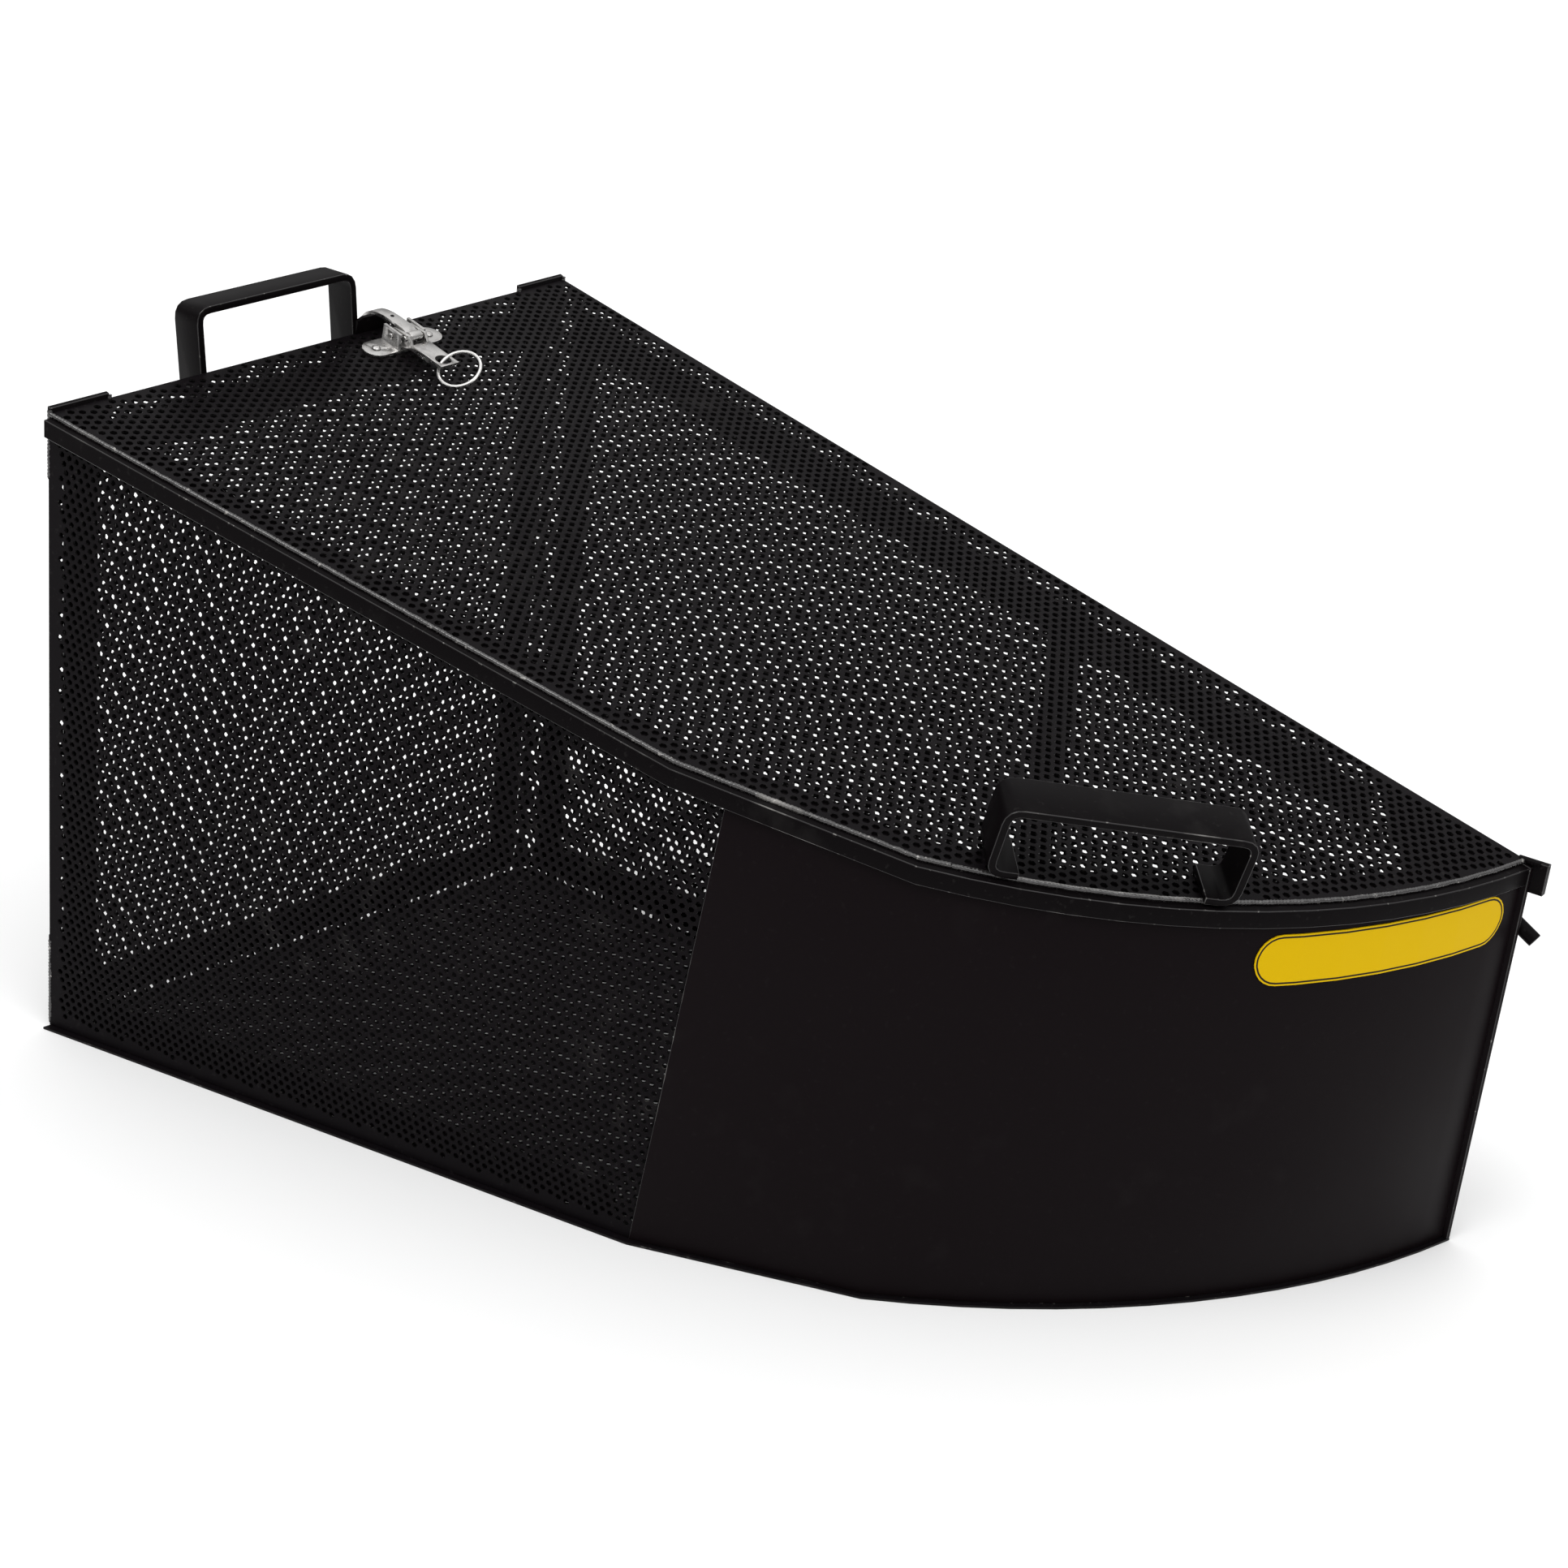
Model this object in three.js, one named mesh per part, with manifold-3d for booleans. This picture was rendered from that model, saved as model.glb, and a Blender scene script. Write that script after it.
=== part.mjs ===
// Steel grass catcher for a side discharge mower.
// Millimetres, +Z up. X runs from the rear wall to the pointed front, Y from
// the outer side to the mower side. The origin is the middle of the overall
// box, on the ground under the floor sheet.
import * as THREE from "three";
import { mergeVertices } from "three/addons/utils/BufferGeometryUtils.js";
import Module from "manifold-3d";

const wasm = await Module();
wasm.setup();

// Outline in plan, measured from the rear outer corner.
const LENGTH = 860; // rear outer corner to the front tip
const REAR_SKEW = 50; // the rear wall leans forward by this at the mower side
const DEPTH_REAR = 455; // outer side to mower side, at the rear
const DEPTH_TIP = 460; // outer side to mower side, at the tip
const KINK_X = 466; // where the outer side takes its first bend
const KINK_Y = 67;
const BEND_X = 609; // where the rolled front begins
const BEND_Y = 120;
const ROLL_RISE = 39; // how far the rolled front bulges from its chord
const ROLL_STEPS = 14;

// Heights of the top, above the ground, at three corners.
const HEIGHT_REAR_OUTER = 439;
const HEIGHT_REAR_INNER = 490;
const HEIGHT_TIP = 276;

// Stock.
const SHEET = 1.5; // perforated and solid sheet
const HOLE_PITCH = 58; // staggered rows of holes, coarser than the real sheet's
const HOLE_WIDTH = 41; // across corners: as open as the real sheet
const HOLE_SIDES = 6;
const HOLE_MARGIN = 6; // solid border round a sheet's field of holes
const BAR = 3; // thickness of the flat bar of the frame
const BAR_WIDTH = 25;
const GAP = 0.3; // between pieces that are welded or riveted together
const ROW = 8; // the bars stand this far off the folds
const CORNER = 15; // the posts stand this far off the corners

// Rolled angle along the top of the outer side.
const RIM_LEG = 11;
const RIM_FLANGE = 26;
const RIM_BAR = 3;
const TOP_INSET = 6; // the top sheet ends this far inside the rim

// The solid front sheet and the seam where it covers the perforated sheet.
const SEAM_SLANT = 35; // the seam runs forward by this from bottom to top
const SEAM_LAP = 60; // the perforated sheet goes on behind the solid one

// Mower side.
const MID_POST = 464; // from the rear corner to the post
const GUSSET = 111; // solid plate at the tip, along its top
const GUSSET_LOW = 165; // where the gusset runs into the front post
const FRONT_POST = 25;
const FRONT_PLATE_BAR = 3;
const INLET_HEIGHT = 140;

// Corner plates on the rear wall.
const CORNER_PLATE = 45;
const CORNER_PLATE_BAR = 3;
const PLATE_RISE = 3; // the upper plates stand this far above the top sheet
const LOWER_TAB = 25;
const LOWER_TAB_HEIGHT = 70;

// Strap handles.
const HANDLE_BAR = 5;
const HANDLE_BEND = 9;
const HANDLE_FOOT = 18;
const REAR_HANDLE = { length: 136, height: 44, width: 25, from: 125, down: 30, chamfer: 16 };
const FRONT_HANDLE = { length: 156, height: 50, width: 32, along: 0.27, inset: 1 };

// Hitch at the tip.
const PIN_RADIUS = 5;
const PIN_LENGTH = 48;
const PIN_OUT = 9; // how far the pin reaches past the tip
const PIN_DROP = 53; // the free end lies this far below the top
const PIN_TILT = 30;
const LUG_BAR = 6;
const LUG_HEIGHT = 21;
const LUG_REAR = 12; // the lug reaches this far to each side of the tip
const LUG_FRONT = 9;
const SOCKET_WALL = 3;
const SOCKET_LENGTH = 24;
const SOCKET_BACK = 3; // from the pin's rear end to the socket

// Plain field on the rolled front.
const FIELD_LENGTH = 197;
const FIELD_END = 14; // from its front end to the tip
const FIELD_HEIGHT = 34;
const FIELD_DROP_FROM = 20; // below the top, at its rear end
const FIELD_DROP_TO = 15.5; // below the top, at its front end
const FIELD_SHEET = 0.6;
const FIELD_BLUNT = 2; // half height of its end facets
const FIELD_STEPS = 6;

// Toggle latch on the rear edge, in its own frame: X forward from the rear
// edge, Y along the edge, Z off the top sheet.
const LATCH_AT = 278; // along the rear edge, from the outer corner
const LATCH_IN = 3; // the frame's origin lies this far inside the edge
const LATCH_SHEET = 2;
const LATCH_PLATE_LENGTH = 68;
const LATCH_PLATE_WIDTH = 20;
const LATCH_EAR_HOLE = 2;
const PIVOT_X = 22;
const PIVOT_Z = 9;
const PIVOT_RADIUS = 2;
const PIVOT_HEAD = 1.2; // a pin's end outside the sheet it runs in
const HOOK_PIN_HEAD = 0.8;
const RUN = 0.3; // running clearance of the pins
const CHEEK_INSIDE = 9.5;
const CHEEK_LENGTH = 18;
const CHEEK_HEIGHT = 14;
const LEVER_INSIDE = 6;
const LEVER_TIP = 71.5;
const LEVER_GRIP_FROM = 40;
const LEVER_SIDE_TO = 58; // its sides end here, short of the tip
const LEVER_TOP = 10; // upper face of its grip
const LEVER_LOW = 6; // lower edge of its sides at the grip
const HOOK_PIN_X = 32;
const HOOK_PIN_Z = 11;
const HOOK_HALF = 5;
const HOOK_BAR = 3;
const HOOK_RISE = 4; // the arm passes this high over the line of its pin
const HOOK_ARCH = 12; // where the arm begins to curve down
const HOOK_REACH = 17; // behind the frame's origin
const HOOK_DROP = 9; // below the top sheet
const HOOK_RUN = 7; // from its pin to where the arm is at full height
const HOOK_LIP = 8;
const HOOK_BEND = 1.2;
const HOOK_STEPS = 7;
const HOOK_EYE = 4.2; // outer radius round its pin
const RING_RADIUS = 15.2;
const RING_WIRE = 1.2;
const RING_HOLE = 5.8;
const RING_HOLE_SIDES = 24;
const RING_HOLE_X = 64;
const RING_TILT = 8; // its centre lies this far above the line of the lever
const RING_TURN = 58; // it leans this far from upright, about the lever
const RIVET_RADIUS = 3.2;
const RIVET_HEIGHT = 1.6;

const rad = THREE.MathUtils.degToRad;
const vec = (x, y) => new THREE.Vector2(x, y);

function finish(color, roughness, metalness) {
  return new THREE.MeshStandardMaterial({ color, roughness, metalness });
}
const blackCoat = () => finish(0x16171a, 0.45, 0.35);
const mattBlack = () => finish(0x1b1c1f, 0.6, 0.3);
const zinc = () => finish(0xb9bcc0, 0.32, 0.9);
const yellow = () => finish(0xf2c500, 0.45, 0.0);

// Plan outline: the outer side from the rear corner to the tip, as one chain.
function rollRadius() {
  const half = vec(BEND_X, BEND_Y).distanceTo(vec(LENGTH, DEPTH_TIP)) / 2;
  return (half * half + ROLL_RISE * ROLL_RISE) / (2 * ROLL_RISE);
}
function outerChain() {
  const start = vec(BEND_X, BEND_Y);
  const end = vec(LENGTH, DEPTH_TIP);
  const half = start.distanceTo(end) / 2;
  const radius = rollRadius();
  const along = end.clone().sub(start).normalize();
  const inward = vec(-along.y, along.x);
  const middle = start.clone().add(end).multiplyScalar(0.5);
  const centre = middle.clone().addScaledVector(inward, radius - ROLL_RISE);
  const first = Math.atan2(start.y - centre.y, start.x - centre.x);
  const sweep = 2 * Math.asin(half / radius);
  const points = [vec(0, 0), vec(KINK_X, KINK_Y)];
  for (let i = 0; i <= ROLL_STEPS; i++) {
    const angle = first + (sweep * i) / ROLL_STEPS;
    points.push(vec(centre.x + radius * Math.cos(angle), centre.y + radius * Math.sin(angle)));
  }
  return points;
}
const CHAIN = outerChain();
const REAR_INNER = vec(REAR_SKEW, DEPTH_REAR);
const TIP = vec(LENGTH, DEPTH_TIP);
const ALONG_INNER = TIP.clone().sub(REAR_INNER).normalize();
const ALONG_REAR = REAR_INNER.clone().normalize();

function cross(a, b) {
  return a.x * b.y - a.y * b.x;
}

// Where two lines meet, each given by a point and a direction.
function meet(p, u, q, v) {
  const t = cross(q.clone().sub(p), v) / cross(u, v);
  return p.clone().addScaledVector(u, t);
}

// A line moved to its left by d.
function moved(p, u, d) {
  return p.clone().add(vec(-u.y, u.x).multiplyScalar(d));
}

// The outer chain moved inward by d, cut by the rear wall and the mower side,
// which are moved inward by their own distances.
function insetChain(d, rear, inner) {
  const lines = [];
  for (let i = 0; i + 1 < CHAIN.length; i++) {
    const u = CHAIN[i + 1].clone().sub(CHAIN[i]).normalize();
    lines.push([moved(CHAIN[i], u, d), u]);
  }
  const back = ALONG_REAR.clone().negate();
  const rearLine = [moved(REAR_INNER, back, rear), back];
  const side = ALONG_INNER.clone().negate();
  const innerLine = [moved(TIP, side, inner), side];
  const all = [rearLine, ...lines, innerLine];
  const points = [];
  for (let i = 0; i + 1 < all.length; i++) {
    points.push(meet(all[i][0], all[i][1], all[i + 1][0], all[i + 1][1]));
  }
  return points;
}

// The whole outline moved inward: rear wall, outer side and mower side.
function insetOutline(rear, outer, inner) {
  const chain = insetChain(outer, rear, inner);
  const back = ALONG_REAR.clone().negate();
  const side = ALONG_INNER.clone().negate();
  chain.push(meet(moved(TIP, side, inner), side, moved(REAR_INNER, back, rear), back));
  return chain;
}

// Height of the top sheet's upper face.
const SLOPE = slopeOfTop();
function slopeOfTop() {
  const a = REAR_INNER;
  const b = TIP;
  const da = HEIGHT_REAR_INNER - HEIGHT_REAR_OUTER;
  const db = HEIGHT_TIP - HEIGHT_REAR_OUTER;
  const det = a.x * b.y - a.y * b.x;
  return vec((da * b.y - a.y * db) / det, (a.x * db - da * b.x) / det);
}
function top(p) {
  return HEIGHT_REAR_OUTER + SLOPE.x * p.x + SLOPE.y * p.y;
}
// The slope makes a sheet's vertical thickness a little more than its gauge.
const LEAN = Math.sqrt(1 + SLOPE.x * SLOPE.x + SLOPE.y * SLOPE.y);

function geometryFrom(positions, index) {
  const geometry = new THREE.BufferGeometry();
  geometry.setAttribute("position", new THREE.Float32BufferAttribute(positions, 3));
  geometry.setIndex(index);
  geometry.computeVertexNormals();
  return geometry;
}

// A body between two outlines with the same number of points, low and high.
function loft(low, high) {
  const n = low.length;
  const positions = [];
  for (const p of [...low, ...high]) {
    positions.push(p.x, p.y, p.z);
  }
  const flat = low.map((p) => vec(p.x, p.y));
  const index = [];
  for (const [a, b, c] of THREE.ShapeUtils.triangulateShape(flat, [])) {
    index.push(a, c, b, n + a, n + b, n + c);
  }
  for (let i = 0; i < n; i++) {
    const j = (i + 1) % n;
    index.push(i, j, n + j, i, n + j, n + i);
  }
  return geometryFrom(positions, index);
}

// A body standing on a plan outline, between two heights that follow the plan.
function standing(outline, lowAt, highAt) {
  const low = outline.map((p) => new THREE.Vector3(p.x, p.y, lowAt(p)));
  const high = outline.map((p) => new THREE.Vector3(p.x, p.y, highAt(p)));
  return loft(low, high);
}

// A body through a row of sections with the same number of points each.
function skin(sections) {
  const n = sections[0].length;
  const positions = [];
  for (const section of sections) {
    for (const p of section) {
      positions.push(p.x, p.y, p.z);
    }
  }
  const index = [];
  for (let s = 0; s + 1 < sections.length; s++) {
    for (let i = 0; i < n; i++) {
      const j = (i + 1) % n;
      const a = s * n + i;
      const b = s * n + j;
      index.push(a, a + n, b + n, a, b + n, b);
    }
  }
  return { positions, index, n, last: (sections.length - 1) * n };
}

// The same, closed at both ends with the flat shape of the section.
function closedSkin(sections, flat) {
  const { positions, index, last } = skin(sections);
  for (const [a, b, c] of THREE.ShapeUtils.triangulateShape(flat, [])) {
    index.push(a, b, c, last + a, last + c, last + b);
  }
  const geometry = geometryFrom(positions, index);
  if (volumeOf(geometry) < 0) {
    const turned = [];
    for (let i = 0; i < index.length; i += 3) {
      turned.push(index[i], index[i + 2], index[i + 1]);
    }
    return geometryFrom(positions, turned);
  }
  return geometry;
}

function volumeOf(geometry) {
  const p = geometry.attributes.position;
  const index = geometry.index.array;
  const a = new THREE.Vector3();
  const b = new THREE.Vector3();
  const c = new THREE.Vector3();
  let sum = 0;
  for (let i = 0; i < index.length; i += 3) {
    a.fromBufferAttribute(p, index[i]);
    b.fromBufferAttribute(p, index[i + 1]);
    c.fromBufferAttribute(p, index[i + 2]);
    sum += a.dot(b.cross(c));
  }
  return sum / 6;
}

// Booleans.
function solid(geometry) {
  let g = geometry.clone();
  g.deleteAttribute("normal");
  g.deleteAttribute("uv");
  g = mergeVertices(g, 1e-4);
  const mesh = new wasm.Mesh({
    numProp: 3,
    vertProperties: new Float32Array(g.attributes.position.array),
    triVerts: new Uint32Array(g.index.array),
  });
  return new wasm.Manifold(mesh);
}
function fromSolid(body) {
  const mesh = body.getMesh();
  return geometryFrom(Array.from(mesh.vertProperties), Array.from(mesh.triVerts));
}

function box(x0, x1, y0, y1, z0, z1) {
  const g = new THREE.BoxGeometry(x1 - x0, y1 - y0, z1 - z0);
  g.translate((x0 + x1) / 2, (y0 + y1) / 2, (z0 + z1) / 2);
  return g;
}

// A round bar along Y between y0 and y1, centred on x and z.
function barAlongY(radius, y0, y1, x, z, sides = 16) {
  const g = new THREE.CylinderGeometry(radius, radius, y1 - y0, sides);
  g.translate(x, (y0 + y1) / 2, z);
  return g;
}

function extrudeShape(points, depth) {
  const shape = new THREE.Shape(points);
  return new THREE.ExtrudeGeometry(shape, { depth, bevelEnabled: false });
}

// Whether a point lies inside a convex outline, at least d from each edge.
function insideBy(outline, p, d) {
  return outline.every((a, i) => {
    const b = outline[(i + 1) % outline.length];
    const u = b.clone().sub(a).normalize();
    return cross(u, p.clone().sub(a)) > d;
  });
}

// The staggered field of holes of a sheet, given its outline in its own plane,
// counter-clockwise: one prism for each hole, from z = -reach to reach.
function holePrisms(outline, reach) {
  const box2 = new THREE.Box2().setFromPoints(outline);
  const row = HOLE_PITCH * Math.sin(rad(60));
  const middle = box2.getCenter(vec(0, 0));
  const half = box2.getSize(vec(0, 0)).multiplyScalar(0.5);
  const columns = Math.ceil(half.x / HOLE_PITCH) + 1;
  const rows = Math.ceil(half.y / row) + 1;
  const shapes = [];
  for (let j = -rows; j <= rows; j++) {
    for (let i = -columns; i <= columns; i++) {
      const shift = j % 2 === 0 ? 0 : HOLE_PITCH / 2;
      const p = middle.clone().add(vec(i * HOLE_PITCH + shift, j * row));
      if (!insideBy(outline, p, HOLE_WIDTH / 2 + HOLE_MARGIN)) {
        continue;
      }
      const corners = [];
      for (let k = 0; k < HOLE_SIDES; k++) {
        const angle = rad(30 + (360 * k) / HOLE_SIDES);
        corners.push(p.clone().add(vec(Math.cos(angle), Math.sin(angle))
          .multiplyScalar(HOLE_WIDTH / 2)));
      }
      shapes.push(new THREE.Shape(corners));
    }
  }
  const g = new THREE.ExtrudeGeometry(shapes, { depth: 2 * reach, bevelEnabled: false });
  g.translate(0, 0, -reach);
  return g;
}

// Cuts the holes of a level or sloping sheet straight down.
function punchedLevel(geometry, outline) {
  const holes = holePrisms(outline, HEIGHT_REAR_INNER * 2);
  return fromSolid(solid(geometry).subtract(solid(holes)));
}

// Cuts the holes of a wall. Its plane holds the start, the direction and +Z, and
// the outline is [distance along the wall, height] in that plane.
function punchedWall(geometry, start, direction, outline) {
  const holes = holePrisms(outline, BAR_WIDTH);
  const x = new THREE.Vector3(direction.x, direction.y, 0);
  const z = new THREE.Vector3(direction.y, -direction.x, 0);
  const matrix = new THREE.Matrix4().makeBasis(x, new THREE.Vector3(0, 0, 1), z);
  matrix.setPosition(start.x, start.y, 0);
  holes.applyMatrix4(matrix);
  return fromSolid(solid(geometry).subtract(solid(holes)));
}

const catcher = new THREE.Group();
function add(name, geometry, material, parent = catcher) {
  const mesh = new THREE.Mesh(geometry, material);
  mesh.name = name;
  parent.add(mesh);
  return mesh;
}

// A frame standing on the top sheet: its Y runs along a direction in plan.
function onTop(origin, direction) {
  const normal = new THREE.Vector3(-SLOPE.x, -SLOPE.y, 1).normalize();
  const rise = SLOPE.x * direction.x + SLOPE.y * direction.y;
  const along = new THREE.Vector3(direction.x, direction.y, rise).normalize();
  const across = along.clone().cross(normal);
  const group = new THREE.Group();
  const matrix = new THREE.Matrix4().makeBasis(across, along, normal);
  group.quaternion.setFromRotationMatrix(matrix);
  group.position.set(origin.x, origin.y, top(origin));
  catcher.add(group);
  return group;
}

// Sheets.
const floorTop = () => SHEET + GAP;
const underTop = (p) => top(p) - SHEET * LEAN - GAP;
const rimTop = (p) => underTop(p);
const underRim = (p) => rimTop(p) - RIM_BAR * LEAN - GAP;
const DEFLECTOR_INSET = RIM_BAR + GAP;
const MESH_INSET = DEFLECTOR_INSET + SHEET + GAP;

function floorPanel() {
  const outline = insetOutline(0, 0, 0);
  return punchedLevel(standing(outline, () => 0, () => SHEET), outline);
}

function topPanel() {
  const outline = insetOutline(0, TOP_INSET, 0);
  const sheet = standing(outline, (p) => top(p) - SHEET * LEAN, top);
  return punchedLevel(sheet, outline);
}

// A flat piece along a wall: from and to are distances along the wall from
// its start, near and far are distances inward from the outline.
function alongWall(start, direction, from, to, near, far, lowAt, highAt) {
  const a = moved(start, direction, near).addScaledVector(direction, from);
  const b = moved(start, direction, near).addScaledVector(direction, to);
  const c = moved(start, direction, far).addScaledVector(direction, to);
  const d = moved(start, direction, far).addScaledVector(direction, from);
  return standing([a, b, c, d], lowAt, highAt);
}

// The rear wall runs from the mower side to the outer side.
const REAR_DIRECTION = ALONG_REAR.clone().negate();
const REAR_LENGTH = REAR_INNER.length();
function onRear(from, to, near, far, lowAt, highAt) {
  return alongWall(REAR_INNER, REAR_DIRECTION, from, to, near, far, lowAt, highAt);
}
// The mower side runs from the tip to the rear.
const INNER_DIRECTION = ALONG_INNER.clone().negate();
const INNER_LENGTH = TIP.distanceTo(REAR_INNER);
function onInner(from, to, near, far, lowAt, highAt) {
  const start = INNER_LENGTH - to;
  return alongWall(TIP, INNER_DIRECTION, start, INNER_LENGTH - from, near, far, lowAt, highAt);
}
// The flat outer side runs from the rear to the first bend.
const OUTER_DIRECTION = CHAIN[1].clone().normalize();
const OUTER_LENGTH = CHAIN[1].length();
function onOuter(from, to, near, far, lowAt, highAt) {
  return alongWall(CHAIN[0], OUTER_DIRECTION, from, to, near, far, lowAt, highAt);
}

// It butts against the inside of the outer sheet and of the mower side.
function rearWall() {
  const outer = MESH_INSET + SHEET + GAP;
  const near = insetOutline(0, outer, SHEET + GAP);
  const far = insetOutline(SHEET, outer, SHEET + GAP);
  const last = near.length - 1;
  const sheet = standing([near[last], near[0], far[0], far[last]], floorTop, underTop);
  return punchedWall(sheet, near[last], REAR_DIRECTION,
    wallOutline(near[last], REAR_DIRECTION, near[last].distanceTo(near[0])));
}

// The four corners of a wall's face, from the floor to under the top sheet.
function wallOutline(start, direction, length, topAt = underTop) {
  const end = start.clone().addScaledVector(direction, length);
  return [vec(0, floorTop()), vec(length, floorTop()), vec(length, topAt(end)),
    vec(0, topAt(start))];
}

function innerWallRear() {
  const length = MID_POST - GAP / 2;
  const start = REAR_INNER.clone().addScaledVector(ALONG_INNER, length);
  const sheet = onInner(0, length, 0, SHEET, floorTop, underTop);
  return punchedWall(sheet, start, INNER_DIRECTION, wallOutline(start, INNER_DIRECTION, length));
}

// A flat piece of the mower side with any outline: [distance from the tip,
// height] pairs. A height may be a function of the plan.
function onInnerFace(points, far) {
  const face = (depth) => points.map(([s, h]) => {
    const corner = s === 0 ? insetChain(0, 0, depth)[CHAIN.length - 1] : null;
    const p = corner || moved(TIP, INNER_DIRECTION, depth).addScaledVector(INNER_DIRECTION, s);
    return new THREE.Vector3(p.x, p.y, typeof h === "function" ? h(p) : h);
  });
  const flat = face(0).map((p) => vec(p.x, p.z));
  const clockwise = THREE.ShapeUtils.isClockWise(flat);
  const near = clockwise ? face(0).reverse() : face(0);
  const back = clockwise ? face(far).reverse() : face(far);
  return closedSkin([near, back], near.map((p) => vec(p.x, p.z)));
}

// The perforated sheet over the inlet ends on the gusset's slanted edge.
function innerWallFront() {
  const rear = INNER_LENGTH - MID_POST - GAP / 2;
  const slant = GAP * 1.5;
  const corners = [
    [rear, INLET_HEIGHT],
    [FRONT_POST + slant, INLET_HEIGHT],
    [FRONT_POST + slant, GUSSET_LOW],
    [GUSSET + slant, underTop],
    [rear, underTop],
  ];
  const outline = corners.map(([s, h]) => {
    const p = TIP.clone().addScaledVector(INNER_DIRECTION, s);
    return vec(s, typeof h === "function" ? h(p) : h);
  });
  const inOrder = THREE.ShapeUtils.isClockWise(outline) ? outline.reverse() : outline;
  return punchedWall(onInnerFace(corners, SHEET), TIP, INNER_DIRECTION, inOrder);
}

// Front post and gusset in one plate, cut to the line of the outer side.
function frontPlate() {
  return onInnerFace([
    [0, floorTop()],
    [0, underTop],
    [GUSSET, underTop],
    [FRONT_POST, GUSSET_LOW],
    [FRONT_POST, floorTop()],
  ], FRONT_PLATE_BAR);
}

// The perforated outer sheet: flat to the first bend, then on behind the seam.
function outerWallMesh() {
  const outer = insetChain(MESH_INSET, 0, 0);
  const inner = insetChain(MESH_INSET + SHEET, 0, 0);
  const u = CHAIN[2].clone().sub(CHAIN[1]).normalize();
  const outline = [
    outer[0],
    outer[1],
    outer[1].clone().addScaledVector(u, SEAM_LAP),
    inner[1].clone().addScaledVector(u, SEAM_LAP),
    inner[1],
    inner[0],
  ];
  const sheet = standing(outline, floorTop, underRim);
  const start = outer[0];
  const length = start.distanceTo(outer[1]);
  return punchedWall(sheet, start, OUTER_DIRECTION,
    wallOutline(start, OUTER_DIRECTION, length, underRim));
}

// The solid rolled front, with its slanted rear edge.
function deflector() {
  const stop = FRONT_PLATE_BAR + GAP;
  const outer = insetChain(DEFLECTOR_INSET, 0, stop).slice(1);
  const inner = insetChain(DEFLECTOR_INSET + SHEET, 0, stop).slice(1);
  const u = CHAIN[2].clone().sub(CHAIN[1]).normalize();
  const plan = [...outer, ...inner.slice().reverse()];
  const low = plan.map((p) => new THREE.Vector3(p.x, p.y, floorTop()));
  const shifted = plan.map((p) => p.clone());
  shifted[0].addScaledVector(u, SEAM_SLANT);
  shifted[shifted.length - 1].addScaledVector(u, SEAM_SLANT);
  const high = shifted.map((p) => new THREE.Vector3(p.x, p.y, underRim(p)));
  return loft(low, high);
}

// The rolled angle on the outer side: [inset, drop] pairs of its section.
function rim(from, to) {
  const section = [
    vec(0, 0),
    vec(RIM_FLANGE, 0),
    vec(RIM_FLANGE, RIM_BAR),
    vec(RIM_BAR, RIM_BAR),
    vec(RIM_BAR, RIM_LEG),
    vec(0, RIM_LEG),
  ];
  const rear = SHEET + GAP;
  const inner = FRONT_PLATE_BAR + GAP;
  const lines = section.map((s) => insetChain(s.x, rear, inner));
  const sections = [];
  for (let i = from; i <= to; i++) {
    const ring = section.map((s, k) => {
      const p = lines[k][i];
      return new THREE.Vector3(p.x, p.y, rimTop(p) - s.y * LEAN);
    });
    sections.push(ring);
  }
  return closedSkin(sections, section);
}

// Frame of flat bars inside the walls.
const BAR_NEAR = SHEET + GAP;
const BAR_FAR = BAR_NEAR + BAR;
const lowBar = () => floorTop() + ROW;
const highBar = (p) => underTop(p) - ROW - RIM_BAR;
const MESH_FAR = MESH_INSET + SHEET;

function railTop(place, from, to, near = BAR_NEAR) {
  const lowAt = (p) => highBar(p) - BAR_WIDTH;
  return place(from, to, near, near + BAR, lowAt, highBar);
}
function railBottom(place, from, to, near = BAR_NEAR) {
  return place(from, to, near, near + BAR, lowBar, () => lowBar() + BAR_WIDTH);
}
function post(place, from, near = BAR_NEAR) {
  return place(from, from + BAR_WIDTH, near, near + BAR, lowBar, highBar);
}

// Plates welded over the rear corners.
function cornerPlate(from, to, lowAt, highAt) {
  return onRear(from, to, -GAP - CORNER_PLATE_BAR, -GAP, lowAt, highAt);
}

// A bent strap: a centre line with rounded corners, given its thickness.
function strapOutline(points, radius, thickness, steps = 4) {
  const path = [points[0].clone()];
  for (let i = 1; i + 1 < points.length; i++) {
    const before = points[i - 1].clone().sub(points[i]).normalize();
    const after = points[i + 1].clone().sub(points[i]).normalize();
    const start = points[i].clone().addScaledVector(before, radius);
    const end = points[i].clone().addScaledVector(after, radius);
    for (let k = 0; k <= steps; k++) {
      const t = k / steps;
      const p = start.clone().multiplyScalar((1 - t) * (1 - t));
      p.addScaledVector(points[i], 2 * t * (1 - t));
      p.addScaledVector(end, t * t);
      path.push(p);
    }
  }
  path.push(points[points.length - 1].clone());
  const left = [];
  const right = [];
  for (let i = 0; i < path.length; i++) {
    const before = path[Math.max(i - 1, 0)];
    const after = path[Math.min(i + 1, path.length - 1)];
    const u = after.clone().sub(before).normalize();
    left.push(moved(path[i], u, thickness / 2));
    right.push(moved(path[i], u, -thickness / 2));
  }
  return [...left, ...right.reverse()];
}

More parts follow.
